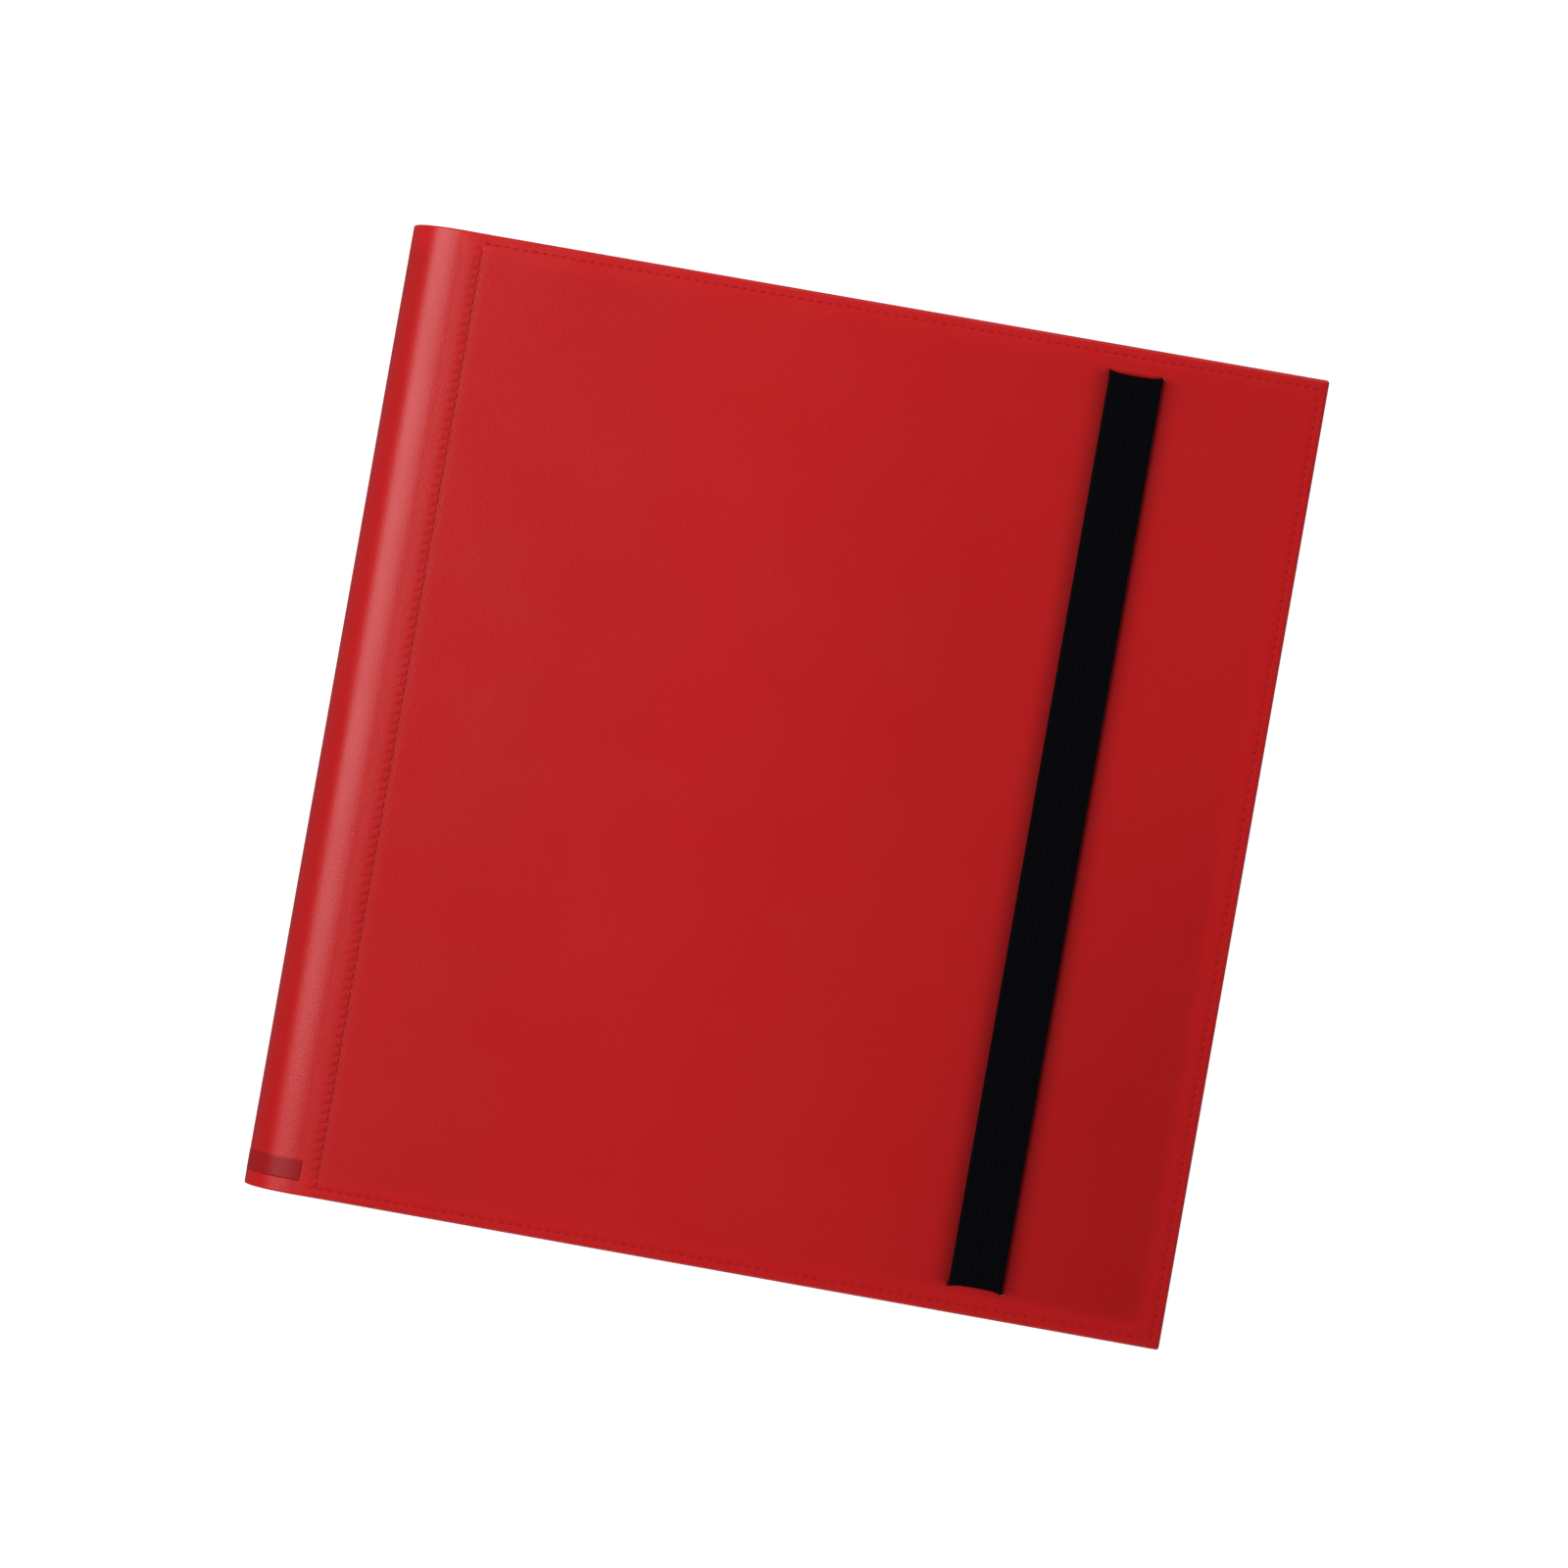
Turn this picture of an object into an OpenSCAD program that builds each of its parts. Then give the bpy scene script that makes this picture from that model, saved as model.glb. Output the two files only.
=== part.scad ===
// Side-loading pocket album for trading cards, closed and lying on its back cover.
// The spine runs along Y on the -X side, the fore-edge is on the +X side, and the
// head of the album is towards +Y. All lengths are in millimetres.

/* [Album] */
// Width of the closed album, from the round of the spine to the fore-edge
album_w = 300; // [260:5:380]
// Height of the album, from head to tail
album_h = 315; // [280:5:400]
// Thickness of the closed album, without the strap
album_t = 35; // [32:0.5:44]

/* [Covers] */
// Thickness of the outer leatherette skin
skin_t = 0.8; // [0.6:0.1:1]
// Thickness of the stiffening board
board_t = 1.7; // [1.4:0.1:2.4]
// Thickness of the inner lining
lining_t = 0.5; // [0.3:0.1:0.6]
// Width of the stitched hem outside the board
hem_w = 4; // [3:0.5:6]
// Clearance between the board and the hem around it
board_fit = 0.2; // [0.1:0.1:0.5]
// Width of bare skin between the round of the spine and the board
hinge_w = 6.5; // [5:0.5:10]
// How far the lining stops short of the edges of the cover
lining_inset = 1; // [0.5:0.5:3]
// How far the lining reaches past the board towards the spine
lining_reach = 3; // [1:0.5:4]

/* [Spine] */
// Number of walls that the round of the spine bends between, an odd number
wall_count = 5; // [3:2:5]
// Gap between neighbouring walls of the spine
wall_gap = 0.1; // [0.05:0.05:0.2]
// Thickness of the glue between the spine walls and what is bonded to them
bond_t = 0.05; // [0.05:0.05:0.1]
// Depth of the binding strip, from its round back to its flat face
strip_d = 6; // [5:0.5:7]
// Height of the binding strip across the spine
strip_h = 20; // [19:0.5:22]
// Clearance between the binding strip and the lining behind it
strip_fit = 0.2; // [0.1:0.1:0.4]

/* [Leaves] */
// Number of pocket leaves
leaf_count = 20; // [10:2:20]
// Thickness of the sheet in the middle of a leaf
sheet_t = 0.2; // [0.15:0.05:0.3]
// Distance from the round of the spine to the leaves
leaf_start = 17; // [16:0.5:20]
// Distance from the leaves to the fore-edge
leaf_fore_margin = 5; // [4:0.5:12]
// Distance from the leaves to the head and the tail
leaf_end_margin = 8; // [6:0.5:14]
// Distance from the cover lining to the middle of the nearest leaf
leaf_cover_gap = 1.2; // [0.9:0.1:2]
// Height between neighbouring leaves where they join the binding strip
tab_pitch = 1; // [0.8:0.05:1]
// Thickness of the flexible tab between a leaf and the binding strip
tab_t = 0.2; // [0.1:0.05:0.3]
// Gap that keeps a tab's end clear of its leaf
tab_fit = 0.1; // [0.05:0.05:0.2]
// Size of the cut across a leaf's corners
leaf_corner = 2; // [1:0.5:5]

/* [Pockets] */
// Number of pockets across a leaf
pocket_cols = 4; // [2:1:4]
// Number of pockets up a leaf
pocket_rows = 3; // [2:1:3]
// Thickness of the clear film
film_t = 0.1; // [0.06:0.02:0.12]
// Depth of a pocket between the film and the sheet
pocket_gap = 0.12; // [0.08:0.02:0.14]
// Width of the welds around a pocket
weld_w = 2; // [1.5:0.25:3]
// Width of bare sheet between a leaf's spine edge and its first pocket
mouth_w = 2; // [2:0.5:6]
// Width of the slit that opens one column of pockets beside the next
slit_w = 0.4; // [0.2:0.1:1]

/* [Strap] */
// Width of the elastic strap
strap_w = 17.2; // [12:0.1:26]
// Thickness of the elastic strap
strap_t = 1; // [0.8:0.1:1.2]
// Distance from the middle of the strap to the fore-edge
strap_from_fore_edge = 61.2; // [30:0.2:120]
// Distance from the head, or the tail, to the nearest wall of a strap slot
slot_inset = 8.8; // [7:0.2:20]
// Length of a strap slot, along the album
slot_l = 2; // [1.8:0.1:3]
// Clearance between the strap and each end of its slot
slot_fit = 0.6; // [0.3:0.1:1.5]
// Gap under the strap where it lies on the cover
strap_rest_gap = 0.2; // [0.1:0.1:0.5]
// Length of the strap's end that is glued between the board and the lining
strap_tail_l = 22; // [12:1:40]
// Clearance around the strap's end in its recess
recess_fit = 0.1; // [0.05:0.05:0.2]

/* [Label] */
// Height of the plain label at the foot of the spine
label_h = 7; // [4:0.5:20]
// Distance from the tail to the label
label_from_tail = 4.5; // [3:0.5:30]
// Thickness of the label
label_t = 0.2; // [0.1:0.05:0.4]

/* [Hidden] */
cover_t = skin_t + board_t + lining_t;
spine_r = album_t / 2;
spine_x = -album_w / 2;
fore_x = album_w / 2;
half_h = album_h / 2;
axis_x = spine_x + spine_r;
mid_z = spine_r;
wall_arc = 180 / wall_count;
wall_gap_arc = wall_gap / spine_r * 180 / PI;
wall_in_r = spine_r - skin_t;
spine_lining_r = wall_in_r - bond_t;
strip_r = spine_lining_r - lining_t - strip_fit;
strip_face_x = axis_x - strip_r + strip_d;
board_x = axis_x + hinge_w;
board_end_x = fore_x - hem_w;
board_half_h = half_h - hem_w;
cover_lining_x = board_x - lining_reach;
leaf_x = spine_x + leaf_start;
leaf_end_x = fore_x - leaf_fore_margin;
leaf_half_h = half_h - leaf_end_margin;
leaf_pitch = (album_t - 2 * cover_t - 2 * leaf_cover_gap) / (leaf_count - 1);
film_x = leaf_x + mouth_w;
column_w = (leaf_end_x - film_x) / pocket_cols;
row_h = (2 * leaf_half_h - weld_w) / pocket_rows;
strap_x = fore_x - strap_from_fore_edge;
slot_far_y = half_h - slot_inset;
strap_end_y = slot_far_y - (slot_l - strap_t) / 2;
recess_z = cover_t - lining_t - strap_t - recess_fit;
label_from = 100;
label_to = 176;
reach = 2 * album_t;
through = 1;
circle_sides = 180;
fan_step = 60;
film_alpha = 0.4;
WALLS = [for (i = [1 : wall_count]) str("spine_wall_", i)];
SHEETS = [for (k = [1 : leaf_count]) str("page_sheet_", two_digits(k))];
POCKETS = [for (k = [1 : leaf_count]) str("page_pockets_", two_digits(k))];

LEATHERETTE = "#b42324";
BOARD = "#a08c6e";
LINING = "#1a1a1c";
SHEET = "#202022";
FILM = "#dfe6ea";
ELASTIC = "#0a0a0c";
LABEL = "#96191c";

// A number as two digits, such as 07
function two_digits(n) = n < 10 ? str("0", n) : str(n);

// Height of the middle of leaf k, and of its tab on the binding strip
function leaf_z(k) = mid_z + (k - (leaf_count + 1) / 2) * leaf_pitch;
function tab_z(k) = mid_z + (k - (leaf_count + 1) / 2) * tab_pitch;

// A point on the spine at radius r, where angle 0 is at the back cover, 90 is the
// outermost point and 180 is at the front cover
function spine_point(r, angle) = [axis_x - r * sin(angle), mid_z - r * cos(angle)];

// Carries an outline drawn in x and z along the album, centred on Y
module along_album(length) {
    rotate([90, 0, 0])
        linear_extrude(height = length, center = true)
            children();
}

// A box from its lowest to its highest corner
module block(low, high) {
    translate(low)
        cube(high - low);
}

// The part of a ring round the spine's centre between two radii and two angles
module spine_arc(inner_r, outer_r, from, to) {
    steps = ceil((to - from) / fan_step);
    fan = [for (i = [0 : steps]) spine_point(reach, from + (to - from) * i / steps)];
    intersection() {
        difference() {
            translate([axis_x, mid_z])
                circle(r = outer_r, $fn = circle_sides);
            translate([axis_x, mid_z])
                circle(r = inner_r, $fn = circle_sides);
        }
        polygon(concat([[axis_x, mid_z]], fan));
    }
}

// Turns a cover built outside-down, as the back cover lies, into the front cover
module as_front() {
    translate([0, 0, album_t])
        mirror([0, 0, 1])
            children();
}

// The slot for the strap, through the skin and the board
module strap_slots() {
    half_slot = strap_w / 2 + slot_fit;
    for (side = [-1, 1])
        translate([strap_x, side * (slot_far_y - slot_l / 2), 0])
            block([-half_slot, -slot_l / 2, -through], [half_slot, slot_l / 2, cover_t + through]);
}

// The recesses in the board's inner face that hold the ends of the strap
module strap_recesses() {
    half_recess = strap_w / 2 + recess_fit;
    from_y = slot_far_y - slot_l - strap_tail_l - recess_fit;
    for (side = [0, 1])
        mirror([0, side, 0])
            translate([strap_x, 0, 0])
                block([-half_recess, from_y, recess_z], [half_recess, slot_far_y, cover_t]);
}

// The leatherette over one cover, with the hem that folds round the board
module cover_skin() {
    near_x = axis_x + wall_gap / 2;
    hem_x = board_end_x + board_fit;
    hem_y = board_half_h + board_fit;
    difference() {
        block([near_x, -half_h, 0], [fore_x, half_h, cover_t - lining_t]);
        block([near_x - through, -hem_y, skin_t], [hem_x, hem_y, cover_t]);
    }
}

// The stiff board inside one cover
module cover_board() {
    block([board_x, -board_half_h, skin_t], [board_end_x, board_half_h, skin_t + board_t]);
}

// The lining inside one cover
module cover_lining() {
    inset_y = half_h - lining_inset;
    block([cover_lining_x, -inset_y, cover_t - lining_t], [fore_x - lining_inset, inset_y, cover_t]);
}

module back_skin() {
    color(LEATHERETTE)
        cover_skin();
}

module back_board() {
    color(BOARD)
        cover_board();
}

module back_lining() {
    color(LINING)
        cover_lining();
}

module front_skin() {
    color(LEATHERETTE)
        as_front()
            difference() {
                cover_skin();
                strap_slots();
            }
}

module front_board() {
    color(BOARD)
        as_front()
            difference() {
                cover_board();
                strap_slots();
                strap_recesses();
            }
}

module front_lining() {
    color(LINING)
        as_front()
            cover_lining();
}

// One wall of the round spine, counted from the back cover
module spine_wall(i) {
    from = wall_arc * (i - 1) + wall_gap_arc / 2;
    to = wall_arc * i - wall_gap_arc / 2;
    color(LEATHERETTE)
        along_album(album_h)
            spine_arc(wall_in_r, spine_r, from, to);
}

// The lining inside the spine, between the hems, with a tongue on to the skin of each cover
module spine_lining() {
    tongue_end_x = cover_lining_x - strip_fit;
    inner_r = spine_lining_r - lining_t;
    color(LINING)
        along_album(2 * board_half_h) {
            spine_arc(inner_r, spine_lining_r, 0, 180);
            for (r = [-spine_lining_r, inner_r])
                translate([axis_x, mid_z + r])
                    square([tongue_end_x - axis_x, lining_t]);
        }
}

// The plain label wrapped round the foot of the spine
module spine_label() {
    color(LABEL)
        translate([0, -half_h + label_from_tail + label_h / 2, 0])
            along_album(label_h)
                spine_arc(spine_r + bond_t, spine_r + bond_t + label_t, label_from, label_to);
}

// The strip that the leaves are welded to, with its back to the spine
module binding_strip() {
    color(LINING)
        along_album(2 * leaf_half_h)
            intersection() {
                translate([axis_x, mid_z])
                    circle(r = strip_r, $fn = circle_sides);
                translate([strip_face_x - reach, mid_z - strip_h / 2])
                    square([reach, strip_h]);
            }
}

// The flexible tabs between the binding strip and the leaves
module page_tabs() {
    end_x = leaf_x - tab_fit;
    color(SHEET)
        for (k = [1 : leaf_count])
            along_album(2 * (leaf_half_h - leaf_corner))
                polygon([
                    [strip_face_x, tab_z(k) - tab_t / 2],
                    [end_x, leaf_z(k) - tab_t / 2],
                    [end_x, leaf_z(k) + tab_t / 2],
                    [strip_face_x, tab_z(k) + tab_t / 2]
                ]);
}

// The sheet in the middle of leaf k, with its corners cut
module page_sheet(k) {
    c = leaf_corner;
    fore_corner = [[leaf_end_x, leaf_half_h - c], [leaf_end_x - c, leaf_half_h]];
    spine_corner = [[leaf_x + c, leaf_half_h], [leaf_x, leaf_half_h - c]];
    quarter = concat(fore_corner, spine_corner);
    other = [for (i = [3 : -1 : 0]) [quarter[i][0], -quarter[i][1]]];
    color(SHEET)
        translate([0, 0, leaf_z(k) - sheet_t / 2])
            linear_extrude(height = sheet_t)
                polygon(concat(quarter, other));
}

// One column of pockets lying on the sheet: a film held off the sheet by welds along
// each row and down the fore-edge side, and open towards the spine
module pocket_column() {
    film_w = column_w - slit_w;
    strip_l = pocket_rows * row_h + weld_w - 2 * leaf_corner;
    low_y = -strip_l / 2;
    last = pocket_rows;
    block([0, low_y, pocket_gap], [film_w, -low_y, pocket_gap + film_t]);
    block([film_w - weld_w, low_y, 0], [film_w, -low_y, pocket_gap]);
    for (row = [0 : last]) {
        y = low_y + row * (strip_l - weld_w) / last;
        block([0, y, 0], [film_w, y + weld_w, pocket_gap]);
    }
}

// The pockets on both faces of leaf k
module page_pockets(k) {
    color(FILM, film_alpha)
        for (face = [0, 1])
            for (col = [0 : pocket_cols - 1])
                translate([film_x + col * column_w, 0, leaf_z(k)])
                    mirror([0, 0, face])
                        translate([0, 0, sheet_t / 2])
                            pocket_column();
}

// The strap where it lies along the outside of the front cover
module strap_band() {
    low_z = album_t + strap_rest_gap;
    half_w = strap_w / 2;
    color(ELASTIC)
        translate([strap_x, 0, low_z])
            block([-half_w, -strap_end_y, 0], [half_w, strap_end_y, strap_t]);
}

// The two ends of the strap, through their slots and glued under the lining
module strap_ends() {
    half_w = strap_w / 2;
    tail_z = cover_t - lining_t - strap_t;
    color(ELASTIC)
        as_front()
            for (side = [0, 1])
                mirror([0, side, 0])
                    translate([strap_x, strap_end_y - strap_t, 0]) {
                        block([-half_w, 0, 0], [half_w, strap_t, tail_z + strap_t]);
                        block([-half_w, -strap_tail_l, tail_z], [half_w, 0, tail_z + strap_t]);
                    }
}

back_skin();
back_board();
back_lining();
front_skin();
front_board();
front_lining();
spine_lining();
spine_label();
binding_strip();
page_tabs();
strap_band();
strap_ends();
for (i = [1 : wall_count])
    spine_wall(i);
for (k = [1 : leaf_count])
    page_sheet(k);
for (k = [1 : leaf_count])
    page_pockets(k);
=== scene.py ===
"""Looks of a side-loading pocket album for trading cards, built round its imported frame.

The album lies closed on its back cover. X runs from the spine to the fore-edge, Y from the
tail to the head, and Z up from the back cover to the front cover. Lengths are in metres.
"""

from __future__ import annotations

import logging
import math
from dataclasses import dataclass, field
from enum import Enum

import bpy
import numpy as np
from mathutils import Matrix, Vector


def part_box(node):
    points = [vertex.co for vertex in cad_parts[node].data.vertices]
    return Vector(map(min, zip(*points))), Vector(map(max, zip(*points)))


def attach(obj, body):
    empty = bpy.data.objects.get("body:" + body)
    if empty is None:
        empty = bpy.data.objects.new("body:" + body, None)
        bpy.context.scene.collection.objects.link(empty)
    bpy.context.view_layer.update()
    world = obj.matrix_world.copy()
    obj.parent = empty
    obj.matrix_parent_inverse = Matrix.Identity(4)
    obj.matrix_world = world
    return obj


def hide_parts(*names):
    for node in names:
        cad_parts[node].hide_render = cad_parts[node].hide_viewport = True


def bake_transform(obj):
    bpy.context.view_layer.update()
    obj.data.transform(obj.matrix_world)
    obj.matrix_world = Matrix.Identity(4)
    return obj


MM = 0.001
LEAVES = 20

log = logging.getLogger("album")
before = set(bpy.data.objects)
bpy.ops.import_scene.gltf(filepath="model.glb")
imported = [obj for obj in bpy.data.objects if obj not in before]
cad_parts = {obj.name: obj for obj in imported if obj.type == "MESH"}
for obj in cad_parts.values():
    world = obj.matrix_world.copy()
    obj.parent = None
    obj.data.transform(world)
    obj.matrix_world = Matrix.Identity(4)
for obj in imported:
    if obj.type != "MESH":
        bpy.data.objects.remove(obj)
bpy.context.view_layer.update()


# ---------------------------------------------------------------------------
# Shape tools
# ---------------------------------------------------------------------------


def smoothstep(t: np.ndarray) -> np.ndarray:
    """Rises from 0 to 1 as t goes from 0 to 1, level at both ends: t^2 (3 - 2t)."""
    t = np.clip(t, 0.0, 1.0)
    return t * t * (3.0 - 2.0 * t)


def bell(t: np.ndarray) -> np.ndarray:
    """A bump of height 1 round t = 0: exp(-t^2)."""
    return np.exp(-np.square(t))


def quarter_round(depth: np.ndarray, radius: np.ndarray) -> np.ndarray:
    """How far a rounded edge falls away at a depth inside the edge.

    The edge is a quarter circle: fall = r - sqrt(r^2 - (r - depth)^2) while depth < r, else 0.

    Args:
        depth: Distance from the edge, inwards.
        radius: Radius of the rounding.

    Returns:
        The fall below the flat face.
    """
    short = np.clip(radius - depth, 0.0, radius)
    return radius - np.sqrt(np.maximum(np.square(radius) - np.square(short), 0.0))


def sorted_lines(*parts: np.ndarray) -> np.ndarray:
    """Grid lines in order on a lattice of 0.01 mm, so that no two nearly meet.

    Args:
        parts: Places of the lines, in any order.

    Returns:
        The sorted places, each once.
    """
    return np.unique(np.round(np.concatenate(parts), 5))


def ruled(*spans: tuple[float, float, float]) -> np.ndarray:
    """Grid lines over several stretches, each divided evenly.

    Args:
        spans: For each stretch, where it starts, where it ends and its longest step.

    Returns:
        The sorted places of the lines, each once.
    """
    parts = [np.linspace(a, b, max(2, math.ceil(abs(b - a) / step - 1e-6) + 1)) for a, b, step in spans]
    return sorted_lines(*parts)


def mirrored(lines: np.ndarray) -> np.ndarray:
    """Lines at both +v and -v for each line v, sorted."""
    return sorted_lines(-lines, lines)


@dataclass
class Surface:
    """A mesh as arrays: places, four-cornered faces, and what the finish reads.

    Attributes:
        points: Vertex places, one row each.
        quads: Vertex numbers of each face, one row each.
        wear_and_shade: How much each vertex is rubbed, up to 1, or darkened by painted shade, down to -1.
        uv: Place of each vertex on the piece's own flat pattern.
    """

    points: np.ndarray
    quads: np.ndarray
    wear_and_shade: np.ndarray | None = None
    uv: np.ndarray | None = None

    def volume(self) -> float:
        """Signed volume: the sum of a.(b x c) / 6 over each face cut into two triangles."""
        a, b, c, d = (self.points[self.quads[:, i]] for i in range(4))
        return float(np.sum(a * (np.cross(b, c) + np.cross(c, d))) / 6.0)

    def outward(self) -> Surface:
        """The same closed surface with its faces pointing outwards."""
        quads = self.quads if self.volume() > 0 else self.quads[:, ::-1]
        return Surface(self.points, quads, self.wear_and_shade, self.uv)


def joined(parts: list[Surface]) -> Surface:
    """Several surfaces as one, each kept as its own closed shell."""
    starts = np.cumsum([0] + [len(p.points) for p in parts[:-1]])
    quads = np.concatenate([p.quads + start for p, start in zip(parts, starts)])
    wear_and_shade = None if parts[0].wear_and_shade is None else np.concatenate([p.wear_and_shade for p in parts])
    uv = None if parts[0].uv is None else np.concatenate([p.uv for p in parts])
    return Surface(np.concatenate([p.points for p in parts]), quads, wear_and_shade, uv)


def slab(
    outer: np.ndarray,
    inner: np.ndarray,
    hole: np.ndarray | None = None,
    wear_and_shade: np.ndarray | None = None,
    uv: np.ndarray | None = None,
) -> Surface:
    """A closed sheet between two grids of points that match row by row and column by column.

    Each grid gives one face of the sheet. A wall joins the two grids wherever a solid cell
    meets a hole or the end of the grid.

    Args:
        outer: Points of one face, rows by columns by 3.
        inner: Points of the other face, in the same order.
        hole: Cells that are left open, (rows - 1) by (columns - 1).
        wear_and_shade: Rubbing or painted shade of each grid point, given to both faces.
        uv: Flat place of each grid point, given to both faces.

    Returns:
        The closed surface, facing outwards.
    """
    rows, cols = outer.shape[:2]
    number = np.arange(rows * cols).reshape(rows, cols)
    solid = np.ones((rows - 1, cols - 1), bool) if hole is None else ~hole
    corners = [number[:-1, :-1], number[1:, :-1], number[1:, 1:], number[:-1, 1:]]
    top = np.stack([c[solid] for c in corners], axis=1)
    under = top[:, ::-1] + rows * cols
    ringed = np.pad(solid, 1).astype(int)
    along = np.diff(ringed[:, 1:-1], axis=0)
    across = np.diff(ringed[1:-1, :], axis=1)
    walls = [
        wall_quads(number[:, :-1], number[:, 1:], along, rows * cols),
        wall_quads(number[1:, :], number[:-1, :], across, rows * cols),
    ]
    quads = np.concatenate([top, under, *walls])
    points = np.concatenate([outer.reshape(-1, 3), inner.reshape(-1, 3)])
    used, renumbered = np.unique(quads, return_inverse=True)
    both_wear_and_shade = None if wear_and_shade is None else np.tile(wear_and_shade.reshape(-1), 2)[used]
    both_uv = None if uv is None else np.tile(uv.reshape(-1, 2), (2, 1))[used]
    return Surface(points[used], renumbered.reshape(quads.shape), both_wear_and_shade, both_uv).outward()


def wall_quads(first: np.ndarray, second: np.ndarray, step: np.ndarray, below: int) -> np.ndarray:
    """Wall faces under the grid edges where solid cells begin or end.

    Args:
        first: Vertex number at one end of each grid edge.
        second: Vertex number at the other end.
        step: +1 where the solid begins past the edge, -1 where it ends, 0 elsewhere.
        below: What to add to a number to reach the other grid.

    Returns:
        The faces, one row each.
    """
    faces = []
    for sign, (a, b) in ((1, (first, second)), (-1, (second, first))):
        a, b = a[step == sign], b[step == sign]
        faces.append(np.stack([a, b, b + below, a + below], axis=1))
    return np.concatenate(faces)


def make_piece(
    name: str, surface: Surface, finish: bpy.types.Material, crease: float = 38.0
) -> bpy.types.Object:
    """Puts a surface into the scene as an object at the origin.

    Args:
        name: Name of the piece.
        surface: Its mesh.
        finish: Its material.
        crease: Edges sharper than this many degrees stay sharp.

    Returns:
        The new object.
    """
    mesh = bpy.data.meshes.new(name)
    quads = surface.quads.astype(np.int32)
    mesh.vertices.add(len(surface.points))
    mesh.vertices.foreach_set("co", surface.points.astype(np.float32).ravel())
    mesh.loops.add(quads.size)
    mesh.loops.foreach_set("vertex_index", quads.ravel())
    mesh.polygons.add(len(quads))
    mesh.polygons.foreach_set("loop_start", np.arange(0, quads.size, 4, dtype=np.int32))
    mesh.update(calc_edges=True)
    mesh.polygons.foreach_set("use_smooth", np.ones(len(quads), bool))
    if surface.wear_and_shade is not None:
        layer = mesh.attributes.new("wear_and_shade", "FLOAT", "POINT")
        layer.data.foreach_set("value", surface.wear_and_shade.astype(np.float32))
    if surface.uv is not None:
        layer = mesh.uv_layers.new(name="pattern")
        layer.data.foreach_set("uv", surface.uv[quads.ravel()].astype(np.float32).ravel())
    mesh.set_sharp_from_angle(angle=math.radians(crease))
    mesh.materials.append(finish)
    piece = bpy.data.objects.new(name, mesh)
    bpy.context.scene.collection.objects.link(piece)
    log.info("%s: %d faces", name, len(quads))
    return piece


# ---------------------------------------------------------------------------
# Finishes
# ---------------------------------------------------------------------------

Colour = tuple[float, float, float]
Socket = bpy.types.NodeSocket

# A wave pattern of this scale has one band to the metre.
ONE_BAND = 2.0 * math.pi / 20.0


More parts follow.
